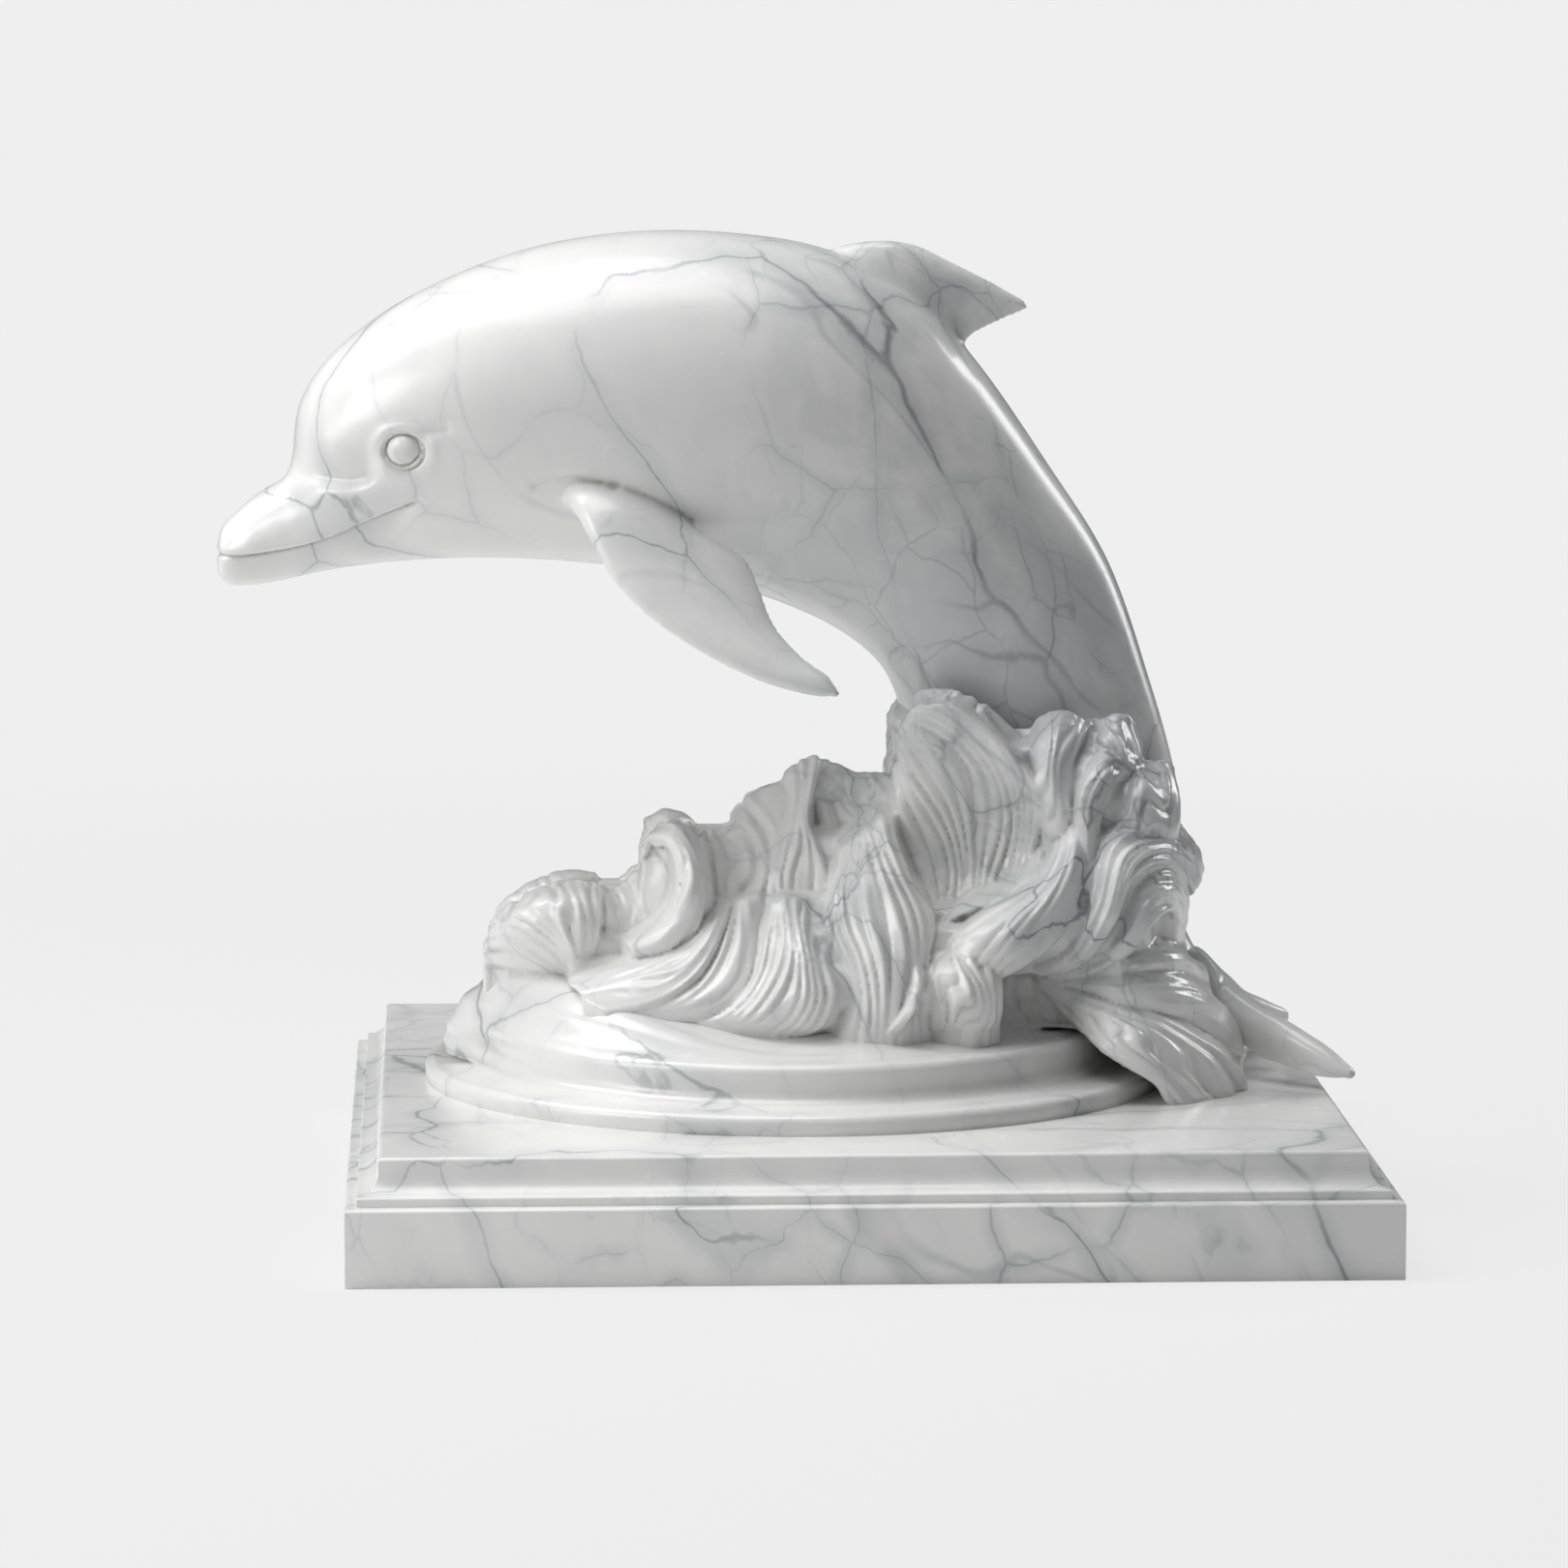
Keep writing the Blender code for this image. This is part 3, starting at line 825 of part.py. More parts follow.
def add_eyes(bm, surface):
    # Each eye is set on the head where its side is
    for side in (1, -1):
        start = Vector((EYE[0], -side * PLINTH_SIDE, EYE[1]))
        found = surface.ray_cast(start, Vector((0, side, 0)))[1]
        place = Matrix.Translation((EYE[0], found.y + side * EYE_RADIUS * 0.35, EYE[1]))
        bmesh.ops.create_uvsphere(bm, u_segments=20, v_segments=12, radius=EYE_RADIUS, matrix=place)


def evaluated_mesh(made):
    return bpy.data.meshes.new_from_object(made.evaluated_get(bpy.context.evaluated_depsgraph_get()))


def carve_sculpture(collection):
    # Every form is laid into one block, which is then merged, rubbed smooth and faceted
    bm = bmesh.new()
    add_body(bm)
    head = new_object("head", bm, collection)
    bm = bmesh.new()
    bm.from_mesh(head.data)
    add_eyes(bm, head)
    bpy.data.objects.remove(head)
    add_fin(bm, DORSAL)
    add_fin(bm, NEAR_FLUKE)
    add_fin(bm, FAR_FLUKE)
    add_fin(bm, FLIPPER)
    add_fin(bm, FLIPPER, drop=FAR_FLIPPER_DROP, mirror=True)
    add_wave(bm)
    block = new_object("sculpture_block", bm, collection)
    merge = block.modifiers.new("merge forms", "REMESH")
    merge.mode = "VOXEL"
    merge.voxel_size = GRAIN
    rub = block.modifiers.new("rub smooth", "SMOOTH")
    rub.factor = 0.5
    rub.iterations = RUBBING
    block.data = evaluated_mesh(block)
    block.modifiers.clear()
    carve_lines(block.data)
    facet = block.modifiers.new("facet", "DECIMATE")
    facet.ratio = FACET_SHARE
    carved = evaluated_mesh(block)
    bpy.data.objects.remove(block)

    length = max(s.leading[0] for s in NEAR_FLUKE) - BODY[0].back_x
    carved.transform(Matrix.Scale(SCULPTURE_LENGTH / length, 4))
    carved.transform(Matrix.Translation((0, 0, TABLE_TOP)))
    bm = bmesh.new()
    bm.from_mesh(carved)
    remove_hollows(bm)
    return new_object("sculpture", bm, collection)


def remove_hollows(bm):
    # Keeps the outer surface, the one with the most faces, and drops what is sealed inside it
    left = set(bm.faces)
    shells = []
    while left:
        shell = {left.pop()}
        edge_of_shell = list(shell)
        while edge_of_shell:
            face = edge_of_shell.pop()
            for edge in face.edges:
                for neighbour in edge.link_faces:
                    if neighbour in left:
                        left.remove(neighbour)
                        shell.add(neighbour)
                        edge_of_shell.append(neighbour)
        shells.append(shell)
    shells.sort(key=len)
    inner = [face for shell in shells[:-1] for face in shell]
    bmesh.ops.delete(bm, geom=inner, context="FACES")


def marble():
    material = bpy.data.materials.new("white_marble")
    material.use_nodes = True
    shader = material.node_tree.nodes["Principled BSDF"]
    shader.inputs["Base Color"].default_value = WHITE_MARBLE
    shader.inputs["Roughness"].default_value = POLISH_ROUGHNESS
    shader.inputs["Metallic"].default_value = 0.0
    return material


def main():
    for old in list(bpy.data.objects):
        bpy.data.objects.remove(old)
    sculpture = bpy.data.collections.new("dolphin_figurine")
    forms = bpy.data.collections.new("carved_forms")
    for collection in (sculpture, forms):
        bpy.context.scene.collection.children.link(collection)

    figure = build_plinth(sculpture)
    build_disc(forms)
    carve_sculpture(forms)
    for form in forms.objects:
        form.hide_render = True
        form.display_type = "WIRE"

    union = figure.modifiers.new("carved from one block", "BOOLEAN")
    union.operation = "UNION"
    union.solver = "EXACT"
    union.operand_type = "COLLECTION"
    union.collection = forms
    figure.data.materials.append(marble())


main()
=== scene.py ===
# A dolphin leaping from a breaking wave, carved in veined white marble on a moulded plinth
import math

import bmesh
import bpy
import numpy as np
from mathutils import Matrix, Vector


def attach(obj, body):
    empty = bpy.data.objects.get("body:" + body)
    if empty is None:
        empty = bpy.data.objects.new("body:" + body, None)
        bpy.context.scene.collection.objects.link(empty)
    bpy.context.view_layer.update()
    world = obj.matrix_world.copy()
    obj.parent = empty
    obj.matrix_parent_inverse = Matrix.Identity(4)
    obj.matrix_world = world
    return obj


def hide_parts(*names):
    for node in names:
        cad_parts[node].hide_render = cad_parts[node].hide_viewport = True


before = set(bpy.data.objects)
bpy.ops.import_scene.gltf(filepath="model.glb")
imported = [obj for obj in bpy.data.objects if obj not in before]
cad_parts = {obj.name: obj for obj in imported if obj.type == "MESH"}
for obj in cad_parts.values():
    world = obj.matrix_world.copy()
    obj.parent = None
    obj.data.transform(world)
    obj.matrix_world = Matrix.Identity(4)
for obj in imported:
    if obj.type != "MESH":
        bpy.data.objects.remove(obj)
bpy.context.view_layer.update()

figureNode = "dolphin_figurine"

plinth = {
    "side": 0.270,
    "slabHeight": 0.0203,
    "slabArris": 0.0012,
    "mouldingInset": 0.0018,
    "mouldingFoot": 0.0025,
    "coveInset": 0.0055,
    "coveHeight": 0.0057,
    "tableTop": 0.03215,
    "tableArris": 0.0012,
    "cornerRound": 0.0014,
}
tableTop = plinth["tableTop"]


# Curves and grids

def curve(values, count):  # Catmull-Rom through the first axis of an array
    values = np.asarray(values, float)
    last = len(values) - 1
    place = np.linspace(0, last, count)
    index = np.minimum(place.astype(int), last - 1)
    t = (place - index).reshape((-1,) + (1,) * (values.ndim - 1))
    padded = np.concatenate([[values[0] * 2 - values[1]], values, [values[-1] * 2 - values[-2]]])
    p0, p1, p2, p3 = (padded[index + k] for k in range(4))
    return (p1 + (p2 - p0) * 0.5 * t + (p0 * 2 - p1 * 5 + p2 * 4 - p3) * 0.5 * t ** 2
            + (p1 * 3 - p0 - p2 * 3 + p3) * 0.5 * t ** 3)


def fadeIn(values, low, high):  # smooth step from 0 at low to 1 at high
    t = np.clip((np.asarray(values, float) - low) / (high - low), 0, 1)
    return t * t * (3 - 2 * t)


def unit(vectors):
    return vectors / np.maximum(np.linalg.norm(vectors, axis=-1, keepdims=True), 1e-9)


def gridPlace(v, rows, columns):  # the row and column of a corner of a fresh grid of size 1
    return round((v.co.y + 1) / 2 * (rows - 1)), round((v.co.x + 1) / 2 * (columns - 1))


def wrapGrid(bm, rings):  # a grid bent round closed rings, its ends drawn in to poles
    rings = np.asarray(rings, float)
    centres = rings[[0, -1]].mean(axis=1, keepdims=True)
    rings = np.concatenate([np.broadcast_to(centres[0], rings[:1].shape), rings,
                            np.broadcast_to(centres[1], rings[:1].shape)])
    rings = np.concatenate([rings, rings[:, :1]], axis=1)
    rows, columns = rings.shape[:2]
    made = bmesh.ops.create_grid(bm, x_segments=columns - 1, y_segments=rows - 1, size=1.0)["verts"]
    for v in made:
        v.co = rings[gridPlace(v, rows, columns)]
    faces = list({f for v in made for f in v.link_faces})
    bmesh.ops.remove_doubles(bm, verts=made, dist=1e-7)
    faces = [f for f in faces if f.is_valid]
    bmesh.ops.recalc_face_normals(bm, faces=faces)


def newObject(name, bm):
    mesh = bpy.data.meshes.new(name)
    bm.to_mesh(mesh)
    bm.free()
    made = bpy.data.objects.new(name, mesh)
    bpy.context.scene.collection.objects.link(made)
    return made


def largestShell(bm):  # drops what is sealed inside the carving
    left = set(bm.faces)
    shells = []
    while left:
        first = left.pop()
        shell, edgeOfShell = [first], [first]
        while edgeOfShell:
            for edge in edgeOfShell.pop().edges:
                for face in edge.link_faces:
                    if face in left:
                        left.remove(face)
                        shell.append(face)
                        edgeOfShell.append(face)
        shells.append(shell)
    shells.sort(key=len)
    bmesh.ops.delete(bm, geom=[f for shell in shells[:-1] for f in shell], context="FACES")


def mergeForms(name, bm, grain, rubbing, most, carve=None):  # one closed skin over all the forms, rubbed smooth
    grain = grain * 1.0
    bmesh.ops.translate(bm, vec=(0, 0, tableTop), verts=bm.verts)
    block = newObject(name + "Block", bm)
    merge = block.modifiers.new("merge", "REMESH")
    merge.mode = "VOXEL"
    merge.voxel_size = grain
    rub = block.modifiers.new("rub", "SMOOTH")
    rub.factor = 0.5
    rub.iterations = rubbing
    mesh = bpy.data.meshes.new_from_object(block.evaluated_get(bpy.context.evaluated_depsgraph_get()))
    bpy.data.objects.remove(block)
    bm = bmesh.new()
    bm.from_mesh(mesh)
    largestShell(bm)
    if carve:
        carve(bm)
    triangles = sum(len(f.verts) - 2 for f in bm.faces)
    made = newObject(name, bm)
    if triangles > most:
        thin = made.modifiers.new("thin", "DECIMATE")
        thin.ratio = most / triangles
        mesh = bpy.data.meshes.new_from_object(made.evaluated_get(bpy.context.evaluated_depsgraph_get()))
        made.modifiers.clear()
        made.data = mesh
    print(name, "faces", triangles, "->", len(made.data.polygons))
    return made


def finishPiece(piece, material):
    piece.data.materials.clear()
    piece.data.materials.append(material)
    piece.data.shade_smooth()
    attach(piece, "root")
    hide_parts(figureNode)


# Wave: the locks of water are laid into a relief, a grid of cells seen from the front

wave = {
    "cell": 0.00035,
    "low": (-0.118, -0.004),
    "high": (0.128, 0.112),
    "rings": 280,
    "columnsPerFlute": 26,
    "fluteScale": 1.8,
    "fineDepth": 0.26,
    "pitch": 0.0042,
    "slotDepth": 0.0014,
    "slotWidth": 0.0011,
    "creviceDepth": 0.0030,
    "creviceWidth": 0.0080,
    "shellThickness": 0.0090,
    "edgeRound": 0.0042,
    "coreRound": 0.024,
    "footDepth": 0.012,
    "discEnd": 0.050,
    "backShare": 0.95,
    "closingGap": 0.0022,
    "recess": 0.002,
    "grain": 0.00050,
    "rubbing": 2,
    "triangles": 195000,
}


def newLock(flutes, swell, depth, flow, foot=0.10, lip=0.8, scallop=1.2):  # lengths in millimetres
    return {"flutes": flutes, "swell": swell, "depth": depth, "foot": foot, "lip": lip,
            "scallop": scallop, "flow": [np.reshape(line, (-1, 3)) for line in flow]}


# Each list is a line of flow from foot to crest: x, y towards the back and z above the plinth's top, point by point
waveLocks = {
    "shell": newLock(10, 0, 1.2, foot=0.5, flow=[
        [-74.3, -22, 28.5, -83.3, -19, 30.4, -91.6, -12, 30.1, -97.7, -4, 30.5],
        [-74.4, -24, 29, -83.4, -26, 36.6, -92.3, -20, 39.9, -97.5, -8, 38],
        [-74.3, -25, 29.5, -80.7, -31, 41.5, -88.9, -28, 47.4, -95, -14, 45],
        [-74, -26, 29.8, -77.3, -34, 43.3, -82.7, -30, 51.8, -87.7, -18, 51.2],
        [-73.6, -26, 30.2, -73.8, -34, 44, -76.5, -31, 52.6, -79.8, -20, 54],
        [-73, -26, 30.5, -71, -33, 43.8, -71.6, -30, 52.4, -72.5, -20, 54.9],
        [-72.3, -25, 30.7, -68.2, -31, 42.1, -67.1, -27, 49.2, -68, -19, 53.5],
    ]),
    "shoulder": newLock(5, 0, 0.8, flow=[
        [-71.6, -26, 30.9, -66.8, -28, 40.2, -66.4, -25, 46.8, -67.4, -17, 51.3],
        [-66.8, -28, 33.2, -63.3, -28, 40.2, -63.2, -24, 46.6, -64.4, -15, 51.8],
        [-62.6, -27, 35.9, -59.1, -26, 42.7, -59, -21, 49, -59.5, -13, 55.2],
        [-58.4, -25, 39.7, -54.2, -23, 46.4, -54.4, -18, 52.7, -55.3, -12, 59.3],
    ]),
    "curl pocket": newLock(3, 0, 0.5, flow=[
        [-62.6, -26, 39.2, -59.7, -23, 46.5, -57.9, -18, 52.7, -56.3, -14, 60.6, -56, -13, 64],
        [-55.7, -28, 42.3, -52.1, -24, 48.7, -51.3, -20, 55.1, -52.6, -17, 61, -54, -16, 65.1],
        [-49.5, -30, 44.6, -46.6, -26, 52.4, -47.5, -22, 58.8, -49.2, -20, 62.8, -51.2, -18, 64.6],
    ]),
    "curl": newLock(4, 0.12, 1.3, scallop=0.4, flow=[
        [-61.1, -38, 41.7, -52.6, -42, 47.4, -47.8, -42, 54.7, -47.2, -40, 61.3, -49, -36, 65.3, -51.7, -33, 67.4,
         -54.2, -30, 66.3],
        [-60.2, -42, 40.5, -50.7, -46, 44.9, -44.7, -46, 53.9, -44.6, -44, 61.9, -46.9, -39, 67.4, -50, -35, 70.4,
         -53.6, -30, 69],
        [-58.5, -41, 38.6, -47.9, -44, 42.5, -41.4, -44, 52.2, -41.5, -41, 61.4, -44, -36, 68.4, -48.1, -31, 71.8,
         -53.2, -26, 70.3, -55.5, -22, 67.3],
        [-56, -37, 37.3, -45.7, -38, 40.2, -38.4, -38, 49.2, -38.6, -35, 59.9, -40.9, -31, 67, -45.2, -26, 71.7,
         -51.3, -22, 71.6, -55.7, -18, 66.7, -56.3, -16, 60.9],
    ]),
    "hill": newLock(8, 0, 1.0, lip=0.2, scallop=0.2, flow=[
        [-39, -36, 49.6, -38.5, -31, 55.2, -38.2, -24, 61.9, -38.7, -16, 67.1, -39.2, -12, 68.1],
        [-32.5, -37, 50.4, -33, -31, 56.5, -33.3, -22, 62.3, -34.1, -14, 66.1, -34.2, -9, 67.4],
        [-27.7, -38, 50.5, -28.1, -31, 57.2, -28.5, -22, 64.3, -28.1, -14, 70.3, -28.2, -7, 75.7],
        [-22.9, -38, 50.5, -22.6, -32, 58.7, -20.9, -24, 65.9, -19.8, -15, 73.1, -20.1, -5, 79.6],
        [-18.1, -39, 50.6, -18.6, -34, 58.9, -16.9, -27, 66.3, -15.4, -18, 73.5, -13.7, -3, 84.9],
        [-12.6, -39, 50.6, -13.1, -34, 58.9, -13.5, -28, 65.7, -13.8, -20, 73.1, -10, 0, 86.5],
        [-6.4, -38, 52.5, -7.5, -34, 58.9, -9.3, -28, 65, -11.8, -22, 71.2, -8, -2, 86.5],
    ]),
    "hollow": newLock(6, 0, 0.8, lip=0.0, scallop=0.0, flow=[
        [-5, -20, 60.1, -7.6, -14, 68.1, -9.1, -8, 76.2, -10.1, 0, 86.4],
        [0.9, -18, 64.2, -1.7, -12, 70.8, -2.8, -6, 77.4, -3.9, 1, 84.6],
        [6, -18, 68.6, 4.1, -13, 73.8, 3, -7, 78.2, 1.9, 0, 82.1],
        [9.2, -20, 71.8, 8.8, -15, 75.5, 9, -10, 78.6, 8.4, -2, 81.4],
        [13, -24, 75.2, 12.2, -18, 78.1, 11.8, -12, 81, 11.5, -6, 82.8],
    ]),
    "lock a": newLock(7, 0.05, 1.3, foot=0.5, flow=[
        [-76.7, -40, 30.6, -65.7, -42, 35, -56.1, -43, 37.9, -48.5, -42, 40.5, -43, -40, 45.3, -39.4, -36, 49.3],
        [-74.7, -46, 29.8, -63.1, -49, 32.6, -53.6, -50, 35.5, -46, -48, 40, -40.7, -44, 45.9, -37.7, -37, 50.1],
        [-71.4, -50, 27.6, -59.8, -53, 29.8, -50.3, -54, 33.3, -42.6, -51, 39.4, -38, -46, 46.2, -35.3, -38, 50.6],
        [-66, -54, 25.5, -56.5, -56, 27.1, -47.6, -56, 30.5, -40.7, -53, 36.9, -36.3, -47, 44.9, -33.2, -38, 51.2],
    ]),
    "lock b": newLock(6, 0.05, 1.3, foot=0.4, flow=[
        [-66, -53, 25.3, -55.1, -55, 27.3, -46.2, -55, 31, -39.2, -51, 37.3, -34.9, -45, 44.6, -32.5, -37, 51.4],
        [-57.8, -55, 24.2, -47.6, -57, 26.5, -39.4, -57, 30.6, -33.1, -53, 36.8, -30.5, -47, 44.9, -29.5, -38, 52.6],
        [-49.7, -57, 23.7, -40.9, -58, 25.9, -34, -57, 29.8, -29.7, -53, 35.4, -28.4, -47, 42.8, -26.4, -38, 53.3],
        [-42.8, -56, 22.5, -35.3, -56, 24.5, -30.5, -55, 28.8, -28.3, -51, 34.4, -27.4, -46, 40.6, -23.9, -38, 51.2],
    ]),
    "lock c": newLock(10, 0.08, 1.4, foot=0.2, flow=[
        [-44.2, -57, 23, -36.1, -59, 26, -30, -59, 31.5, -26.1, -56, 37.9, -24.5, -51, 44.8, -22.4, -42, 51.8],
        [-36.1, -59, 22.2, -28, -62, 25.8, -22.6, -62, 31.9, -19.7, -59, 39, -19.5, -53, 45.7, -20, -43, 52.9],
        [-27.3, -60, 21.3, -19.9, -63, 25.2, -15.2, -64, 31.5, -14.4, -61, 38.6, -15.4, -54, 45.1, -16.9, -43, 53.2],
        [-18.4, -60, 20.5, -12.4, -63, 24.4, -9, -63, 30.6, -10.6, -60, 37.1, -11.9, -53, 43.6, -14.1, -42, 52.7],
        [-12.8, -57, 19.6, -7.4, -59, 23.4, -6.1, -59, 30, -9.3, -56, 36.1, -9.4, -50, 43.1, -12.3, -40, 51.7],
    ]),
    "valley": newLock(5, 0, 0.9, flow=[
        [-8, -44, 33.9, -8.5, -40, 42.3, -11.7, -34, 49.8, -14.9, -28, 54.6],
        [-4.6, -45, 30.5, -5.8, -41, 39, -8.3, -36, 48, -12.2, -30, 55.5],
        [-2.6, -46, 25.8, -3.8, -42, 37, -5.7, -38, 46.9, -8.1, -32, 56.5],
        [-1.3, -47, 20.4, -1.1, -44, 32.5, -1.6, -40, 45.8, -4.8, -35, 54.8],
    ]),
    "pointed sheet": newLock(9, 0.1, 1.4, foot=0.1, scallop=0.5, flow=[
        [-8.6, -56, 19.5, -5.8, -56, 26.8, -6.7, -54, 35.9, -8.7, -50, 45.4, -7.4, -45, 54.9, -3.3, -36, 66.3],
        [-3.5, -60, 20, -1.3, -60, 29.5, -1.9, -58, 39.3, -3.9, -54, 48.9, -2.5, -48, 58.2, -0.1, -37, 68.2],
        [3.6, -62, 20.3, 4.9, -63, 31.4, 5, -61, 41.2, 3.9, -56, 50.6, 3.5, -50, 59.8, 3.1, -37, 70.4],
        [10.8, -62, 20.5, 10.7, -62, 31.2, 12.3, -60, 41, 11.8, -56, 50.5, 9.3, -49, 60.4, 6.9, -35, 73.8],
        [18.2, -58, 20.4, 16, -58, 30.5, 18.2, -56, 40.4, 20.6, -53, 47.9, 14.6, -45, 58.3, 8.4, -33, 71.3],
    ]),
    "small lick": newLock(2, 0.3, 0.6, flow=[
        [5.7, -62, 20.8, 9.9, -64, 25, 13, -63, 31.3, 13.5, -58, 39.2],
        [7.4, -64, 21.1, 11.9, -67, 26.2, 14.4, -66, 32.5, 14.5, -59, 40.1],
        [9.3, -62, 20.7, 13.5, -64, 26.4, 16.2, -63, 32.8, 15.8, -57, 39.1],
    ]),
    "knob lock": newLock(6, 0.02, 1.5, lip=0.2, flow=[
        [18.2, -57, 20.6, 18.7, -60, 26.5, 17.9, -61, 31.7, 18.7, -60, 35.9, 21.9, -55, 39.5],
        [25.2, -60, 21, 26.4, -63, 26.9, 24.9, -64, 32.9, 24.4, -61, 37.5, 25.5, -55, 40.9],
        [31.7, -60, 21.3, 32.9, -62, 27.4, 31.5, -62, 33.9, 29.5, -59, 38.6, 29.1, -54, 42.2],
        [37.5, -54, 21.1, 38, -56, 27.9, 37.3, -56, 34.4, 34.2, -54, 39.2, 32.9, -51, 43.1],
    ]),
    "long sheet": newLock(6, 0.06, 1.2, flow=[
        [20.7, -52, 36.8, 25.6, -53, 44.9, 32.9, -51, 50.4, 40.3, -49, 54, 47.7, -46, 59, 52.3, -42, 65, 54.4, -38,
         71, 55.8, -34, 77],
        [22.6, -55, 36.6, 28.3, -56, 43.9, 35.6, -54, 48.6, 42.9, -52, 52.6, 49.6, -49, 58, 54.2, -45, 64.6, 56, -41,
         71.3, 57.1, -36, 78],
        [26.7, -58, 36.3, 32.4, -59, 42.2, 38.9, -58, 47, 45.5, -55, 51.6, 52.2, -52, 56.9, 56.8, -48, 64.3, 58, -43,
         71.6, 58.4, -37, 78.8],
        [32.5, -57, 35.3, 38.2, -58, 39.8, 44, -57, 44.7, 49.9, -54, 49.3, 55.9, -51, 55.3, 59.5, -47, 63.4, 59.8,
         -42, 71.5, 60, -36, 79.4],
        [37.6, -52, 33.1, 43.6, -53, 36.5, 49.4, -52, 40.3, 54.6, -50, 45.7, 58.8, -47, 53.3, 61.2, -44, 61.5, 61.5,
         -40, 71.2, 61.8, -35, 80],
    ]),
    "fan floor": newLock(4, 0, 0.4, lip=0.0, flow=[
        [21.6, -48, 47.1, 26.2, -44, 51.6, 29.5, -38, 54.4],
        [28.8, -48, 50.7, 32.8, -43, 53.6, 35.4, -37, 55.6],
        [37.6, -46, 54, 40.8, -41, 56.9, 43.4, -36, 59.1],
        [46.4, -44, 59.5, 48.5, -40, 62.5, 49.8, -37, 66.5],
    ]),
    "fan": newLock(13, 0, 1.5, scallop=0.6, flow=[
        [20.8, -38, 50, 17.5, -33, 58.8, 14.2, -29, 66.9, 11.9, -28, 73.7, 10.6, -26, 80.6, 11.5, -24, 85.4],
        [23.7, -38, 50.7, 22.7, -32, 60.1, 19.3, -29, 69.7, 15.9, -30, 78.8, 13.4, -29, 86, 12.7, -28, 91.8],
        [26.6, -38, 51.5, 26.4, -30, 61.3, 24.5, -29, 71.7, 20.8, -32, 82, 16.4, -32, 90.1, 12.7, -31, 95.8],
        [29.5, -38, 52.2, 30.4, -30, 62, 29.2, -30, 73.9, 25.8, -34, 85.1, 19.8, -36, 94.2, 13, -34, 99.8],
        [33.1, -38, 52.9, 34.8, -30, 62.7, 34.6, -32, 75.5, 31.4, -36, 87.5, 25.4, -39, 97.4, 16.2, -36, 104],
        [36.7, -38, 53.2, 39, -31, 62.8, 39.9, -34, 75.7, 37.8, -38, 86.3, 33.2, -41, 96.2, 24.6, -39, 105],
        [41, -39, 54.4, 43.6, -33, 63.8, 45.1, -36, 74.6, 43.8, -40, 84.3, 40.4, -42, 92.6, 32.5, -41, 100.5],
        [45.3, -40, 56.7, 47.3, -36, 64.9, 48.8, -39, 73.5, 48.4, -42, 80.2, 46.9, -42, 86, 41.2, -41, 92.5],
    ]),
    "back lip": newLock(3, 0, 0.4, flow=[
        [15, -31, 102.3, 15.4, -31, 105.3, 15.8, -30, 107],
        [24.2, -34, 103.4, 26.4, -34, 105.5, 27.9, -33, 106.9],
        [32.7, -37, 98.6, 35, -36, 99.9, 36.9, -34, 101.1],
        [41.3, -39, 91.5, 43.6, -37, 91.6, 45.2, -34, 91.6],
    ]),
    "first lobe": newLock(5, 0.15, 1.2, scallop=0.3, flow=[
        [50.2, -36, 67.8, 48.6, -38, 76.8, 46.1, -37, 85.4, 44.9, -33, 91.5, 47.1, -28, 96.3],
        [52.4, -40, 69.8, 50.4, -42, 78.8, 49.3, -42, 87.5, 50, -38, 95, 51.7, -30, 99.5],
        [55.2, -41, 71.4, 53.2, -43, 80.3, 52.8, -43, 88.3, 54.6, -38, 95.7, 56.7, -30, 100.4],
        [58.4, -38, 72.4, 56.7, -40, 81.4, 57.4, -40, 89.4, 60.7, -35, 94.9, 63.5, -28, 97],
    ]),
    "second lobe": newLock(3, 0.15, 0.9, scallop=0.3, flow=[
        [60.2, -33, 81.9, 61.6, -33, 89.2, 64.2, -28, 95.5],
        [65, -36, 83, 66.4, -36, 92.5, 68.2, -28, 98.8],
        [70.2, -35, 83.6, 71.3, -34, 92.2, 72, -26, 99.2],
        [75, -30, 82.9, 76.2, -28, 88.5, 78, -20, 91.5],
    ]),
    "upper curl": newLock(5, 0.1, 1.3, scallop=0.3, flow=[
        [57.2, -36, 48.8, 58.7, -39, 59.4, 58.5, -41, 72.8, 59.1, -41, 83.7, 62.2, -39, 89.6, 67.9, -35, 92, 74.3,
         -29, 90.1, 79.2, -20, 85.2],
        [58.7, -40, 49.3, 60.1, -44, 60.1, 60, -46, 72, 60.9, -46, 82.1, 64.4, -43, 88.3, 69.5, -38, 89.8, 74.4, -32,
         88.1, 78.5, -23, 84.1],
        [60.9, -40, 50.1, 62.1, -44, 60.1, 62, -46, 71.3, 63.2, -45, 79.8, 66.3, -42, 85.2, 70.2, -38, 87.2, 74, -32,
         85.7, 77.6, -25, 82.6],
        [63, -36, 50.2, 64.1, -39, 59.4, 64.3, -41, 69.8, 65.7, -41, 77.8, 68.4, -38, 82.5, 71.3, -34, 84.2, 73.9,
         -30, 83.5, 76.1, -26, 80.9],
    ]),
    "knob": newLock(2, 0.25, 0.6, scallop=0.2, flow=[
        [69.2, -38, 73.1, 69.6, -38, 78.9, 71.3, -34, 82, 74.4, -28, 83.3],
        [73.4, -40, 71.1, 73.7, -40, 77.7, 75.9, -36, 82.9, 78.9, -27, 85.8],
        [78.7, -38, 69.4, 79.4, -37, 76.5, 81.3, -32, 82.4, 82.6, -22, 86.4],
        [86.9, -28, 68, 87.7, -27, 73.7, 86.9, -24, 79.9, 85.9, -15, 83.9],
    ]),
    "middle curl": newLock(7, 0.1, 1.5, scallop=0.3, flow=[
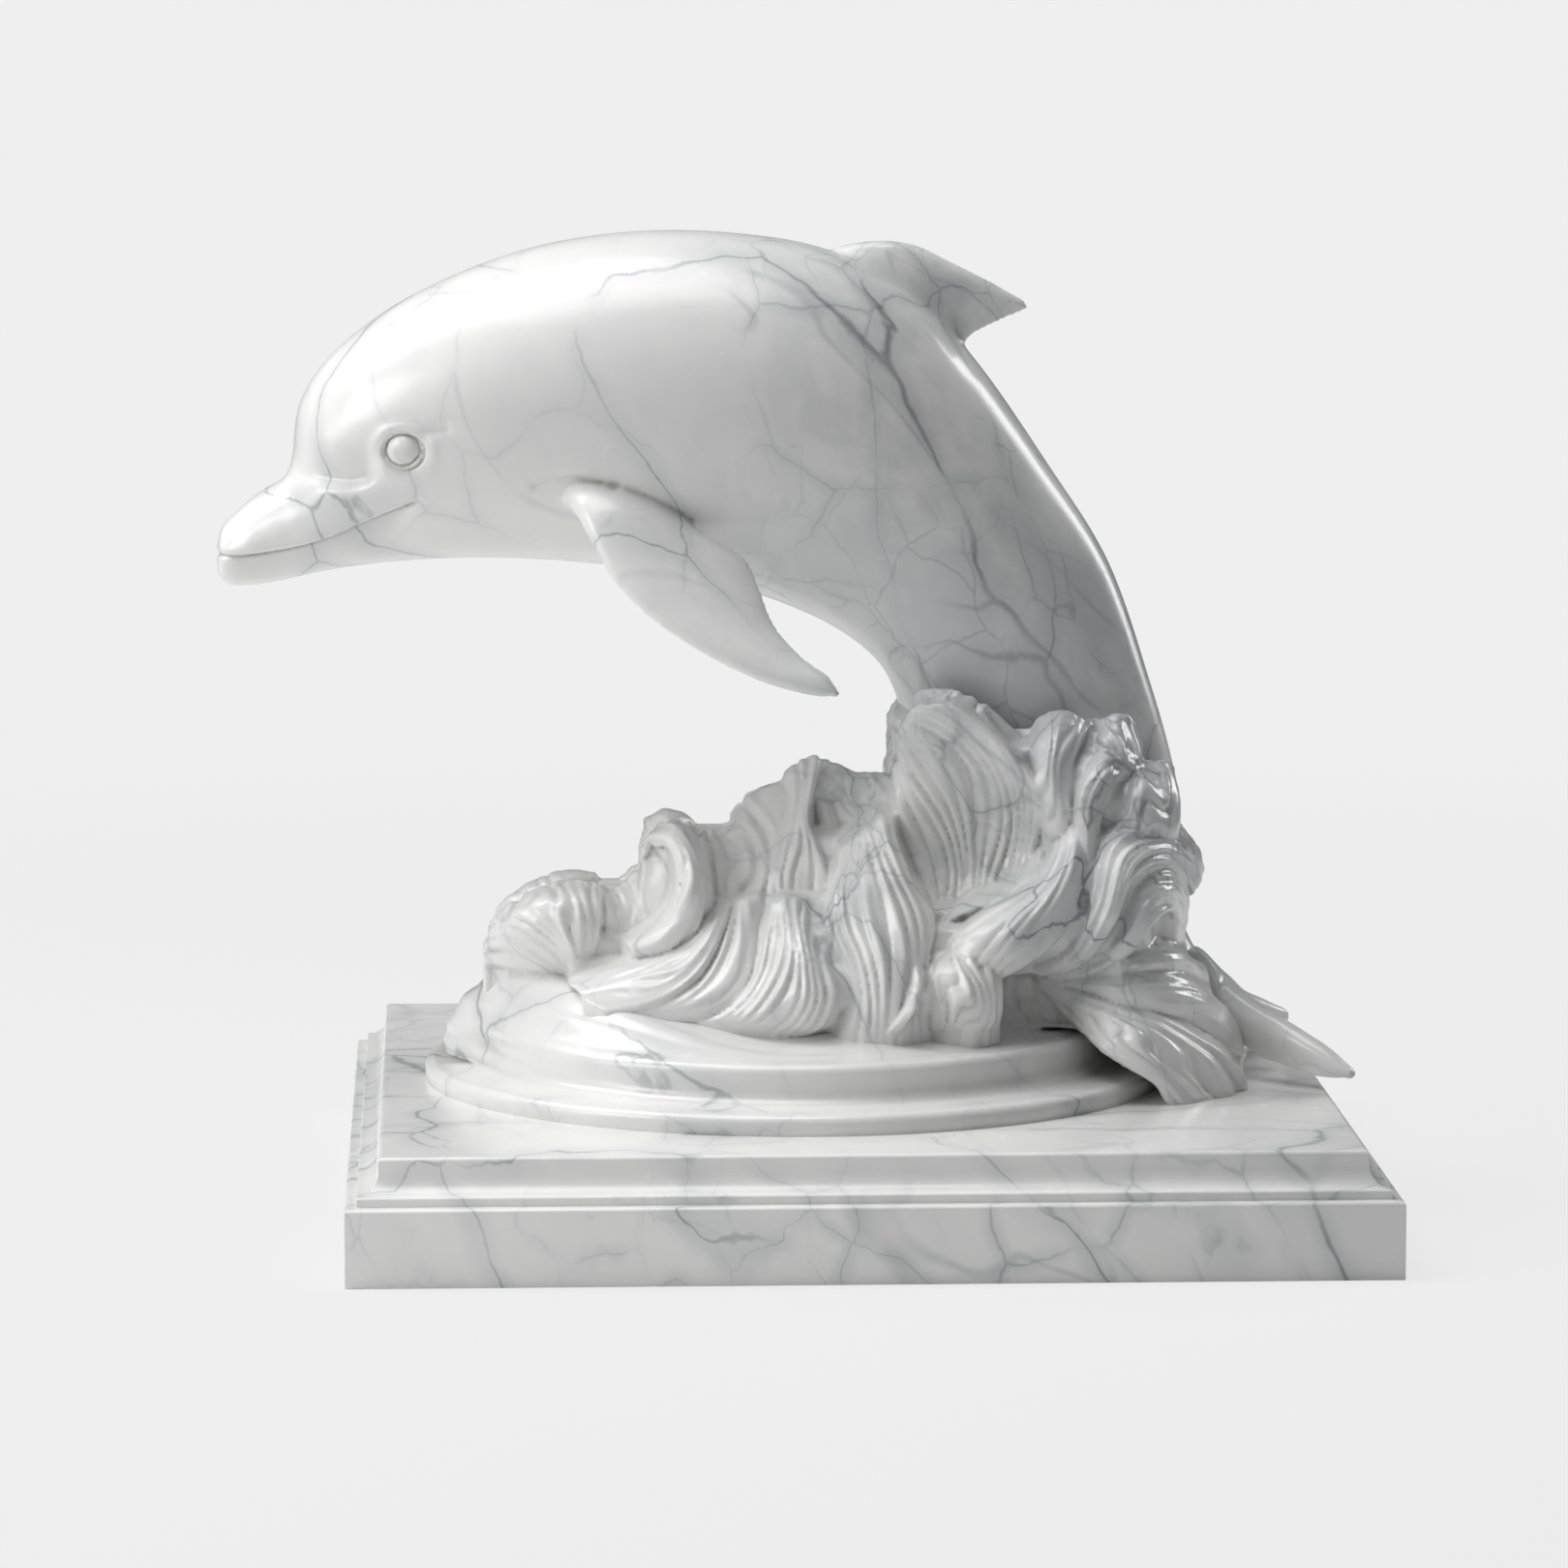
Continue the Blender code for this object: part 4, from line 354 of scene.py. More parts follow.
        [45.7, -36, 32.9, 53.1, -42, 38, 59.3, -46, 45.1, 62.4, -47, 54, 63.9, -46, 62.5, 66.6, -43, 70.1, 71.2, -40,
         74.6, 79, -34, 73.7, 87.2, -25, 69.8, 93.6, -13, 61.5],
        [47, -38, 32.8, 55, -46, 37.9, 61.4, -51, 45.1, 64.5, -52, 53.9, 66.4, -50, 62.3, 69.5, -47, 68.4, 74.6, -43,
         70.8, 81, -36, 69.1, 87.9, -26, 64.8, 93.6, -13, 57],
        [48.3, -39, 32.5, 57.1, -47, 37.3, 63.7, -53, 44.7, 66.8, -54, 53.5, 69.1, -52, 60.4, 72.7, -48, 65.3, 77.5,
         -43, 66.8, 82.5, -36, 64.3, 87.8, -27, 60.5, 92.6, -14, 53.5],
        [49.9, -38, 32, 59.4, -45, 36.6, 65.7, -51, 43.6, 68.8, -52, 51.7, 71.8, -50, 58, 75.8, -46, 61.7, 80.2, -41,
         62.5, 84.1, -35, 60.2, 87.4, -27, 56.1, 90.9, -15, 50],
    ]),
    "lower curl": newLock(5, 0.12, 1.1, scallop=0.3, flow=[
        [51.4, -37, 31.4, 61.8, -42, 36.1, 68, -46, 42.2, 70.6, -48, 49, 73.2, -47, 54.6, 77.5, -43, 58.8, 82.4, -37,
         59.2, 87, -28, 55.5, 90, -16, 49.4],
        [52.8, -38, 31.3, 63, -45, 35.5, 69.8, -50, 41.3, 73.2, -51, 47.2, 76.3, -49, 52, 79.9, -45, 55, 83.5, -38,
         54.4, 86.6, -29, 50.5, 89.2, -17, 45.1],
        [55, -37, 30.7, 65.3, -44, 34.6, 72.8, -49, 39.7, 77.1, -49, 44.7, 79.8, -46, 48.6, 82.5, -41, 50.1, 84.9,
         -35, 48.1, 86.7, -28, 44.5, 88.5, -17, 39.5],
    ]),
    "low lick": newLock(3, 0.15, 0.8, scallop=0.2, flow=[
        [50.8, -35, 31, 62.7, -40, 34.7, 72.7, -42, 39.3, 80.3, -38, 39.8, 87.7, -29, 37.7, 94.4, -14, 30.9],
        [52.2, -36, 30.4, 63.9, -43, 33.7, 73.8, -46, 37, 81.5, -41, 36.9, 88.3, -31, 34.6, 95.5, -14, 28.3],
        [54.5, -35, 29.5, 66.2, -42, 31.9, 75.4, -44, 33.8, 83.2, -39, 33.3, 89.2, -29, 31, 96.8, -13, 24.8],
    ]),
    "lobe": newLock(3, 0.15, 0.6, scallop=0.2, flow=[
        [48.8, -33, 30.4, 61.3, -40, 32.2, 71.8, -44, 33.8, 83.1, -40, 33.1, 93.1, -27, 27.7, 101.3, -12, 18.3],
        [50.2, -34, 29.5, 61.8, -43, 30.1, 72.1, -49, 28.7, 83.3, -45, 26.6, 94.2, -31, 21.4, 103.6, -16, 11.5],
        [51.7, -33, 28.2, 62.6, -42, 27.4, 72.2, -48, 24.2, 83.5, -44, 21.3, 95.6, -32, 15.6, 105.7, -20, 5.5],
    ]),
    "skirt": newLock(8, 0.05, 1.4, scallop=0.3, flow=[
        [48.8, -33, 29, 59.9, -40, 28.2, 71.7, -46, 25.4, 83.3, -46, 21.6, 94.3, -38, 14.4, 102.3, -32, 7.5, 105.3,
         -30, -0.3],
        [50.2, -34, 27.7, 59.6, -43, 26.1, 69.8, -51, 22.5, 79.7, -53, 18.4, 89, -47, 11.5, 96.1, -42, 4.8, 100, -40,
         -1.5],
        [51.7, -34, 26.2, 58.9, -43, 24.2, 67.5, -53, 19.9, 75, -57, 15.5, 82.6, -54, 9.1, 88.8, -50, 3.3, 92.7, -48,
         -2.2],
        [52.4, -34, 25.1, 58.3, -42, 21.5, 64, -52, 16.9, 69.3, -57, 12.6, 77.2, -58, 8.3, 83.1, -56, 3.6, 87, -54,
         -1.2],
        [52.6, -32, 24, 58, -40, 19, 62.1, -49, 15.3, 64.9, -53, 13.1, 70.8, -56, 9.9, 76.5, -56, 6.9, 81.8, -54,
         -0.2],
    ]),
    "deep pocket": newLock(4, 0, 0.5, lip=0.0, flow=[
        [38.2, -40, 18.1, 39.3, -34, 23.7, 40.2, -32, 30],
        [45.7, -36, 17.4, 47.1, -27, 22.5, 46.3, -28, 30.1],
        [53, -36, 17.3, 54.4, -28, 20.4, 52.9, -28, 27.1],
        [59.2, -40, 17.9, 59, -34, 19.9, 56.1, -33, 24.9],
    ]),
    "dark strands": newLock(4, 0, 0.9, lip=0.0, flow=[
        [39.9, -36, 31.7, 51.1, -40, 38.4, 57.5, -41, 47.3, 60.5, -40, 56.6, 61.3, -38, 67.3],
        [43.4, -37, 32.2, 53.9, -41, 38.6, 59.6, -42, 47.4, 62, -41, 56.8, 62.7, -39, 67.4],
        [46.2, -38, 32.7, 56.4, -42, 39.1, 61.3, -43, 47.6, 63.5, -42, 56.9, 64, -40, 67.5],
    ]),
}


def evenLine(points, count):  # a smooth line through the points, read at even lengths
    fine = curve(points, 200)
    run = np.concatenate([[0], np.cumsum(np.linalg.norm(np.diff(fine, axis=0), axis=1))])
    wanted = np.linspace(0, run[-1], count)
    return np.stack([np.interp(wanted, run, fine[:, axis]) for axis in range(3)], axis=1)


def lockSurface(lock, seed, coarse):  # the fluted face of one lock of water
    flutes, depth = lock["flutes"], lock["depth"] * wave["fluteScale"] / 1000
    rings = wave["rings"] // coarse
    columns = max(70, flutes * wave["columnsPerFlute"] // coarse)
    lines = np.array([evenLine(line, 7) for line in lock["flow"]]) / 1000
    middle = curve(curve(lines, columns).transpose(1, 0, 2), rings)
    along = unit(np.gradient(middle, axis=0))
    out = np.cross(unit(np.gradient(middle, axis=1)), along)
    out = out * np.sign(-out[..., 1:2] + 1e-9)
    v = np.linspace(0, 1, rings)[:, None]
    u = np.linspace(0, 1, columns)[None, :]
    hump = np.sqrt(np.clip(1 - (2 * u - 1) ** 2, 0, 1))
    halfWidth = np.linalg.norm(middle[:, -1] - middle[:, 0], axis=-1)[:, None] / 2
    sway = (0.9 * np.sin(math.tau * (0.55 * v + 0.37 * seed))
            + 0.5 * np.sin(math.tau * (1.7 * u + 0.9 * v + 0.21 * seed)))
    phase = np.clip(u + sway * np.sin(math.pi * u) / flutes, 0, 1) * flutes
    strand = np.floor(np.minimum(phase, flutes - 1e-6))
    ridge = np.abs(np.sin(math.pi * phase)) ** 0.7
    strong = 0.8 + 0.3 * np.sin(2.3 * strand + seed) + 0.25 * np.sin(5.1 * strand + 9 * v + seed)
    fine = np.abs(np.sin(math.tau * phase + 3 * v)) ** 0.8
    relief = depth * (strong * (ridge - 0.6) + wave["fineDepth"] * (fine - 0.5))
    breadth = np.clip(2 * halfWidth / flutes / wave["pitch"], 0.85, 2.4) ** 0.8
    relief = relief * breadth * (0.25 + 0.75 * fadeIn(v, 0, lock["foot"]))
    lip = lock["lip"] / 1000 * np.exp(-(((v - 0.965) / 0.045) ** 2))
    scallop = lock["scallop"] / 1000 * (ridge - 0.5) * fadeIn(v, 0.8, 1)
    raised = lock["swell"] * halfWidth * hump + relief + lip
    return middle + out * raised[..., None] + along * scallop[..., None]


def neighbours(field, outside):  # the field shifted one cell to each side
    padded = np.pad(field, 1, constant_values=outside)
    rows, columns = field.shape
    return [padded[1 + down:1 + down + rows, 1 + over:1 + over + columns]
            for down, over in ((-1, 0), (1, 0), (0, -1), (0, 1), (-1, -1), (-1, 1), (1, -1), (1, 1))]


def spread(field, times, outside=-9.0):
    for _ in range(times):
        field = np.maximum.reduce([field] + neighbours(field, outside))
    return field


def shrink(field, times, outside=9.0):
    return -spread(-field, times, -outside)


def blur(field, weight, times):
    for _ in range(times):
        total = 4 * field * weight + sum(neighbours(field * weight, 0.0)[:4])
        share = 4 * weight + sum(neighbours(weight, 0.0)[:4])
        field = np.where(share > 1e-6, total / np.maximum(share, 1e-6), field)
    return field


def depthInside(mask, most):  # cells to the nearest edge of the mask, up to the most
    depth = np.zeros(mask.shape)
    for _ in range(most):
        mask = shrink(mask.astype(float), 1, 0.0) > 0.5
        depth += mask
    return depth


def enclosed(mask):  # cells with the mask on all four sides of them
    sides = [np.maximum.accumulate(turned, axis=0) for turned in (mask, mask[::-1], mask.T, mask.T[::-1])]
    return sides[0] & sides[1][::-1] & sides[2].T & sides[3][::-1].T


def makeRelief(coarse):  # cells, the water's face in front of y = 0, and the shell and core behind it
    cell = wave["cell"] * coarse
    low, high = np.array(wave["low"]), np.array(wave["high"])
    columns, rows = np.round((high - low) / cell).astype(int) + 1
    face = np.full((rows, columns), -9.0)
    for seed, lock in enumerate(waveLocks.values()):
        points = lockSurface(lock, seed, coarse).reshape(-1, 3)
        across = np.round((points[:, 0] - low[0]) / cell).astype(int)
        up = np.round((points[:, 2] - low[1]) / cell).astype(int)
        inside = (across >= 0) & (across < columns) & (up >= 0) & (up < rows)
        np.maximum.at(face, (up[inside], across[inside]), -points[inside, 1])
    known = face > -8
    closing = round(wave["closingGap"] / cell)
    mask = shrink(spread(known.astype(float), closing, 0.0), closing, 1.0) > 0.5
    mask |= enclosed(mask)
    filled = np.where(known, face, 0.0)
    weight = known.astype(float)
    for _ in range(closing * 6):
        near = blur(filled, weight, 1)
        weight = np.where(known, 1.0, np.minimum(sum(neighbours(weight, 0.0)), 1.0))
        filled = np.where(known, face, near)
    filled = np.where(known, face, filled - wave["recess"])
    filled = np.where(mask, filled, 0.0)

    # The feet go down into the disc
    x = low[0] + cell * np.arange(columns)
    flooded = mask.copy()
    deep = round(wave["footDepth"] / cell)
    for column in range(columns):
        found = np.flatnonzero(mask[:, column])
        if len(found) and x[column] < wave["discEnd"]:
            foot = found[0]
            start = max(foot - deep, 0)
            filled[start:foot, column] = filled[foot, column]
            mask[start:foot, column] = True
            flooded[:foot, column] = True
    flooded |= mask
    solid = mask.astype(float)
    narrow = round(wave["creviceWidth"] / 2 / cell)
    closed = shrink(spread(np.where(mask, filled, -9.0), narrow), narrow)
    closed = blur(np.where(mask, closed, 0.0), solid, narrow)
    filled = np.where(mask, np.maximum(filled, closed - wave["creviceDepth"]), 0.0)
    narrow = round(wave["slotWidth"] / 2 / cell)
    closed = shrink(spread(np.where(mask, filled, -9.0), narrow), narrow)
    filled = np.where(mask, np.maximum(filled, closed - wave["slotDepth"]), 0.0)
    filled = blur(filled, solid, 1)

    reach = round(wave["edgeRound"] / cell)
    shell = shrink(np.where(mask, filled, 9.0), reach, 9.0)
    shell = blur(np.where(mask, shell, 0.0), solid, 3 * reach) - wave["shellThickness"]
    shell = np.minimum(shell, filled - 0.004)
    turn = 1 - np.clip(depthInside(flooded, reach) / reach, 0, 1)
    turn = np.sqrt(np.clip(1 - turn ** 2, 0, 1))
    front = filled - 0.0015 * (1 - turn)
    back = front - (front - shell) * turn
    wide = round(wave["coreRound"] / cell)
    turn = 1 - np.clip(depthInside(flooded, wide) / wide, 0, 1)
    core = np.clip(blur(shell, solid, 2 * reach) + 0.005, 0.006, 1)
    core = core * np.sqrt(np.clip(1 - turn ** 2, 0, 1))
    edge = mask & ~(shrink(mask.astype(float), 1, 0.0) > 0.5)
    back = np.where(edge, front, back)
    core = np.where(edge, 0.0, core)
    return cell, mask, front, back, core


def addLayers(bm, cell, mask, front, back, mirror):  # a closed form between two reliefs on the same cells
    rows, columns = mask.shape
    low = wave["low"]
    for depth in (front, back):
        made = bmesh.ops.create_grid(bm, x_segments=columns - 1, y_segments=rows - 1, size=1.0)["verts"]
        spare = []
        for v in made:
            row, column = gridPlace(v, rows, columns)
            if mask[row, column]:
                v.co = (low[0] + cell * column, -depth[row, column], low[1] + cell * row)
                if mirror:
                    v.co.y, v.co.z = -v.co.y * wave["backShare"], v.co.z * wave["backShare"]
            else:
                spare.append(v)
        bmesh.ops.delete(bm, geom=spare, context="VERTS")


def waveForm(bm, relief, mirror):
    cell, mask, front, back, core = relief
    addLayers(bm, cell, mask, front, back, mirror)
    addLayers(bm, cell, mask, core, -np.minimum(core, 0.001), mirror)
    bmesh.ops.remove_doubles(bm, verts=bm.verts, dist=1e-6)
    loose = [v for v in bm.verts if not v.link_faces]
    bmesh.ops.delete(bm, geom=loose, context="VERTS")
    bmesh.ops.recalc_face_normals(bm, faces=bm.faces)


def makeWave():
    coarse = 1
    relief = makeRelief(coarse)
    print("relief laid")
    made = []
    for name, mirror in (("waveFront", False), ("waveBack", True)):
        bm = bmesh.new()
        waveForm(bm, relief, mirror)
        made.append(mergeForms(name, bm, wave["grain"], wave["rubbing"], wave["triangles"]))
    return made


# Dolphin

dolphin = {
    "sides": 96,
    "rings": 300,
    "finRings": 60,
    "farFlipperDrop": 0.0130,
    "eye": (-0.1200, 0.1721),
    "socket": (0.0062, 0.0054),
    "socketDepth": 0.0015,
    "eyeRadius": 0.0042,
    "eyeRise": 0.0023,
    "eyeRing": 0.0003,
    "lidHeight": 0.0010,
    "creaseDepth": 0.0006,
    "mouthStep": 0.0017,
    "mouthLip": 0.0005,
    "mouthGroove": 0.0010,
    "browDepth": 0.0027,
    "foldDepth": 0.0006,
    "rootRubbing": 40,
    "grain": 0.00085,
    "rubbing": 4,
    "triangles": 190000,
}
# The body and fins are in millimetres above the plinth's top
bodyStations = [  # back x, back z, belly x, belly z, half width
    (-169.8, 143.7, -169.6, 137.2, 4.5),
    (-168.5, 149.2, -167.2, 134, 9.2),
    (-164.2, 153.8, -161, 133.1, 11.8),
    (-157.7, 159.2, -152, 134.5, 13.4),
    (-152, 162.6, -142.5, 136.6, 15.4),
    (-149.7, 168, -132, 138.6, 18.4),
    (-146.8, 184, -119, 140.2, 23),
    (-136.3, 198, -103.5, 141, 28.5),
    (-116, 212, -82.7, 140.5, 34.2),
    (-87.6, 223.4, -61.9, 138.5, 38.5),
    (-59, 228.2, -46, 135.8, 40.8),
    (-30.6, 227.8, -29.4, 132.2, 41.2),
    (-5, 223, -17, 128, 39.6),
    (18, 210.5, -3.5, 121.5, 36.2),
    (34.5, 193, 7.2, 113, 32.2),
    (53.6, 165.5, 12.5, 103.8, 28.4),
    (69.9, 139.3, 14.6, 93, 24.8),
    (81.1, 107.7, 20, 77.5, 21.2),
    (88.4, 81.3, 35, 62, 17.6),
    (90.6, 60, 53.3, 47, 14.2),
    (90.8, 41.5, 66.6, 32.4, 11.8),
    (98.3, 28.2, 82.5, 17, 10.2),
    (108.9, 19.6, 99, 8.5, 9),
    (115, 14, 109, 8.5, 5),
]
# Fins from root to tip: leading edge x, y, z, trailing edge x, y, z, thickness
dorsalFin = [
    (-14, 0, 212, 26, 0, 190, 30),
    (-6, 0, 222.5, 29, 0, 195.5, 19),
    (5, 0, 225.5, 31.5, 0, 199, 13),
    (16.5, 0, 224.8, 34, 0, 201, 10),
    (27, 0, 220, 37.5, 0, 202.8, 7.8),
    (37.5, 0, 214.8, 42, 0, 204.8, 5.8),
    (45.5, 0, 210.3, 46.8, 0, 206.8, 3.6),
]
flipper = [
    (-80, -22, 164, -50, -24, 161, 18),
    (-77.5, -32, 161, -48, -30, 156, 15),
    (-73.7, -40, 156.2, -42, -34, 151, 12.5),
    (-69.8, -45, 148.6, -34.5, -36.5, 147, 11),
    (-64.3, -49.5, 139.3, -29, -39.5, 143.2, 9.8),
    (-54.3, -54, 129.6, -25.9, -43.5, 136.5, 8.8),
    (-40.5, -58, 120.8, -22.4, -49, 127.6, 7.6),
    (-26.6, -60, 114.1, -15.5, -55, 119.8, 6.2),
    (-14, -61, 110.3, -8.9, -59, 115.4, 4.8),
    (-7.7, -61, 109.8, -6.2, -60.8, 111.6, 3),
]
nearFluke = [
    (93, 10, 33, 98.5, 10, 14, 13),
    (100, -5, 26.5, 104, -5, 11.8, 11.5),
    (108.7, -16, 20.9, 109.9, -16, 6.6, 10),
    (117.6, -26, 16.6, 118, -26, 4.8, 8.8),
    (126.5, -33, 11.6, 125.2, -33, 3.2, 7.5),
    (132, -37, 7, 131, -37, 3.6, 5.5),
]
farFluke = [
    (92, -8, 34, 97.5, -8, 15, 13),
    (100, 8, 26.2, 104.5, 8, 12.5, 11),
    (107, 21, 19.5, 110, 21, 8.5, 9.5),
    (115, 31, 15, 116.5, 31, 6, 8),
    (121.5, 37, 11.5, 122, 37, 6, 6),
]
# Lines in the side view, (x, z) above the plinth's top
mouthLine = [(-0.1715, 0.1427), (-0.1625, 0.1428), (-0.1561, 0.1435), (-0.1472, 0.1452),
             (-0.1383, 0.1481), (-0.1267, 0.1535), (-0.1204, 0.1562), (-0.1150, 0.1588)]
browLine = [(-0.1530, 0.1640), (-0.1485, 0.1652), (-0.1430, 0.1648), (-0.1380, 0.1641),
            (-0.1325, 0.1642), (-0.1270, 0.1660)]
eyeCrease = [(-0.1140, 0.1760), (-0.1118, 0.1772), (-0.1085, 0.1780)]
flipperFold = [(-0.0850, 0.1628), (-0.0790, 0.1650), (-0.0718, 0.1652), (-0.0640, 0.1632)]


def addBody(bm):
    stations = curve(bodyStations, dolphin["rings"]) / 1000
    turn = np.linspace(0, math.tau, dolphin["sides"], endpoint=False)[None, :]
    backX, backZ, bellyX, bellyZ, halfWidth = (stations[:, k:k + 1] for k in range(5))
    x = (backX + bellyX) / 2 + (backX - bellyX) / 2 * np.cos(turn)
    z = (backZ + bellyZ) / 2 + (backZ - bellyZ) / 2 * np.cos(turn)
    wrapGrid(bm, np.stack([x, halfWidth * np.sin(turn), z], axis=-1))


def addFin(bm, sections, drop=0.0, mirror=False):
    rows = curve(sections, dolphin["finRings"]) / 1000
    leading, trailing, half = rows[:, :3], rows[:, 3:6], rows[:, 6:] / 2
    middle, reach = (leading + trailing) / 2, (leading - trailing) / 2
    along = np.gradient(middle, axis=0)
    across = unit(np.cross(reach, along))
    turn = np.linspace(0, math.tau, 48, endpoint=False)
    lens = (0.8 + 0.2 * np.cos(turn)) * np.sin(turn)
    made = (middle[:, None] + reach[:, None] * np.cos(turn)[None, :, None]
            + across[:, None] * (half * lens)[..., None])
    tip = made[-1].mean(axis=0)
    closing = [tip + (made[-1] - tip) * math.cos(a) + unit(along[-1]) * half[-1] * math.sin(a)
               for a in (0.5, 0.9, 1.3)]
    made = np.concatenate([made, closing])
    if mirror:
        fall = drop * np.linspace(0, 1, len(made)) ** 1.5
        made = made * np.array([1, -1, 1]) - np.array([0, 0, 1]) * fall[:, None, None]
    wrapGrid(bm, made)


def lineGap(side, line):  # how far each point of the side view is from a line
    points = curve(line, 120)
    return np.linalg.norm(side[:, None] - points[None], axis=-1).min(axis=1)


def bell(distance, width):
    return np.exp(-((distance / width) ** 2))


def carveHead(side):  # how far the skin moves out along its normal at each point of the side view
    x, z = side[:, 0], side[:, 1]
    line = curve(mouthLine, 120)
    above = z - np.interp(x, line[:, 0], line[:, 1])
    alongJaw = fadeIn(x, -0.170, -0.160) * (1 - fadeIn(x, -0.124, -0.113))
    lift = -dolphin["mouthStep"] * alongJaw * (1 - fadeIn(above, -0.0006, 0.0002)) * bell(above, 0.0100)
    lift += dolphin["mouthLip"] * alongJaw * fadeIn(above, -0.0002, 0.0004) * bell(above, 0.0060)
    lift -= dolphin["mouthGroove"] * bell(lineGap(side, mouthLine), 0.0007) * (1 - fadeIn(x, -0.119, -0.114))

    line = curve(browLine, 120)
    above = z - np.interp(x, line[:, 0], line[:, 1])
    alongBrow = fadeIn(x, -0.152, -0.139) * (1 - fadeIn(x, -0.131, -0.124))
    lift -= dolphin["browDepth"] * alongBrow * np.where(above > 0, bell(above, 0.0062), bell(above, 0.0030))

    across, up = x - dolphin["eye"][0], z - dolphin["eye"][1]
    wide, high = dolphin["socket"]
    ring = np.hypot((across - 0.0006) / wide, (up + 0.0006) / high)
    inside = 1 - fadeIn(ring, 0.84, 1.02)
    fromEye = np.hypot(across, up)
    dome = dolphin["eyeRise"] * np.sqrt(np.clip(1 - (fromEye / dolphin["eyeRadius"]) ** 2, 0, 1))
    lowerLid = bell(fromEye - dolphin["eyeRadius"] - 0.0009, 0.0007) * fadeIn(-up, 0.0012, 0.0032)
    eye = np.maximum(dome, dolphin["lidHeight"] * lowerLid) - dolphin["socketDepth"]
    skin = (lift + dolphin["eyeRing"] * bell(ring - 1.30, 0.25)
            - dolphin["creaseDepth"] * bell(lineGap(side, eyeCrease), 0.0017))
    return skin * (1 - inside) + eye * inside


def makeDolphin():
    bm = bmesh.new()
    addBody(bm)
    addFin(bm, dorsalFin)
    addFin(bm, nearFluke)
    addFin(bm, farFluke)
    addFin(bm, flipper)
    addFin(bm, flipper, drop=dolphin["farFlipperDrop"], mirror=True)
    return mergeForms("dolphin", bm, dolphin["grain"], dolphin["rubbing"], dolphin["triangles"],
                      carveDolphin)


def carveDolphin(bm):
    def side(verts):
        return np.array([(v.co.x, v.co.z - tableTop) for v in verts])
    head = [v for v in bm.verts if v.co.x < -0.105 and abs(v.co.y) > 0.001 or v.co.x < -0.160]
    places = side(head)
    eye = np.hypot(places[:, 0] - dolphin["eye"][0], places[:, 1] - dolphin["eye"][1])
    fine = (eye < 0.0100) | (lineGap(places, mouthLine) < 0.0030) | (lineGap(places, browLine) < 0.0035)
    chosen = {v for v, wanted in zip(head, fine) if wanted}
    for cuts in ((1, 1)):
        edges = [e for e in bm.edges if e.verts[0] in chosen and e.verts[1] in chosen]
        made = bmesh.ops.subdivide_edges(bm, edges=edges, cuts=cuts, use_grid_fill=True)
        chosen |= {g for g in made["geom_inner"] if isinstance(g, bmesh.types.BMVert)}
    bm.normal_update()
    head = [v for v in bm.verts if v.co.x < -0.100]
    normals = [v.normal.copy() for v in head]
    for v, normal, lift in zip(head, normals, carveHead(side(head))):
        v.co += normal * float(lift)
    flank = [v for v in bm.verts if -0.095 < v.co.x < -0.045 and v.co.z > tableTop + 0.150]
    folds = dolphin["foldDepth"] * bell(lineGap(side(flank), flipperFold), 0.0015)
    for v, fold in zip(flank, folds):
        v.co -= v.normal * float(fold)
    root = [v for v in bm.verts  # where the dorsal fin grows out of the back
            if -0.022 < v.co.x < 0.040 and v.co.z > tableTop + 0.190 and 0.003 < abs(v.co.y) < 0.017]
    for _ in range(dolphin["rootRubbing"]):
        bmesh.ops.smooth_vert(bm, verts=root, factor=0.5, use_axis_x=True, use_axis_y=True, use_axis_z=True)


# Plinth and disc

disc = {
    "x": -0.0145,
    "radius": 0.1003,
    "step": 0.0054,
    "upperRadius": 0.0845,
    "upperStep": 0.0105,
    "rimRound": 0.0026,
    "swellRadius": 0.046,
    "swellRise": 0.0050,
    "heapRise": 0.0150,
    "heapRim": 0.0045,
    "heapSpill": 0.0075,
    "heapLean": 0.0060,
    "rippleHeight": 0.00060,
    "turns": 300,
    "sink": 0.0015,
}


def turnProfile(bm, profile, steps):  # spins (radius, height) corners about +Z
    corners = [bm.verts.new((radius, 0.0, height)) for radius, height in profile]
    edges = [bm.edges.new(pair) for pair in zip(corners, corners[1:])]
    bmesh.ops.spin(bm, geom=corners + edges, cent=(0, 0, 0), axis=(0, 0, 1), angle=2 * math.pi,
                   steps=steps, use_merge=True, use_duplicate=False)
    bmesh.ops.remove_doubles(bm, verts=bm.verts, dist=1e-6)
    bmesh.ops.recalc_face_normals(bm, faces=bm.faces)


def arc(centre, radius, start, end, steps):
    turns = [math.radians(start + (end - start) * i / steps) for i in range(steps + 1)]
    return [(centre[0] + radius * math.cos(t), centre[1] + radius * math.sin(t)) for t in turns]


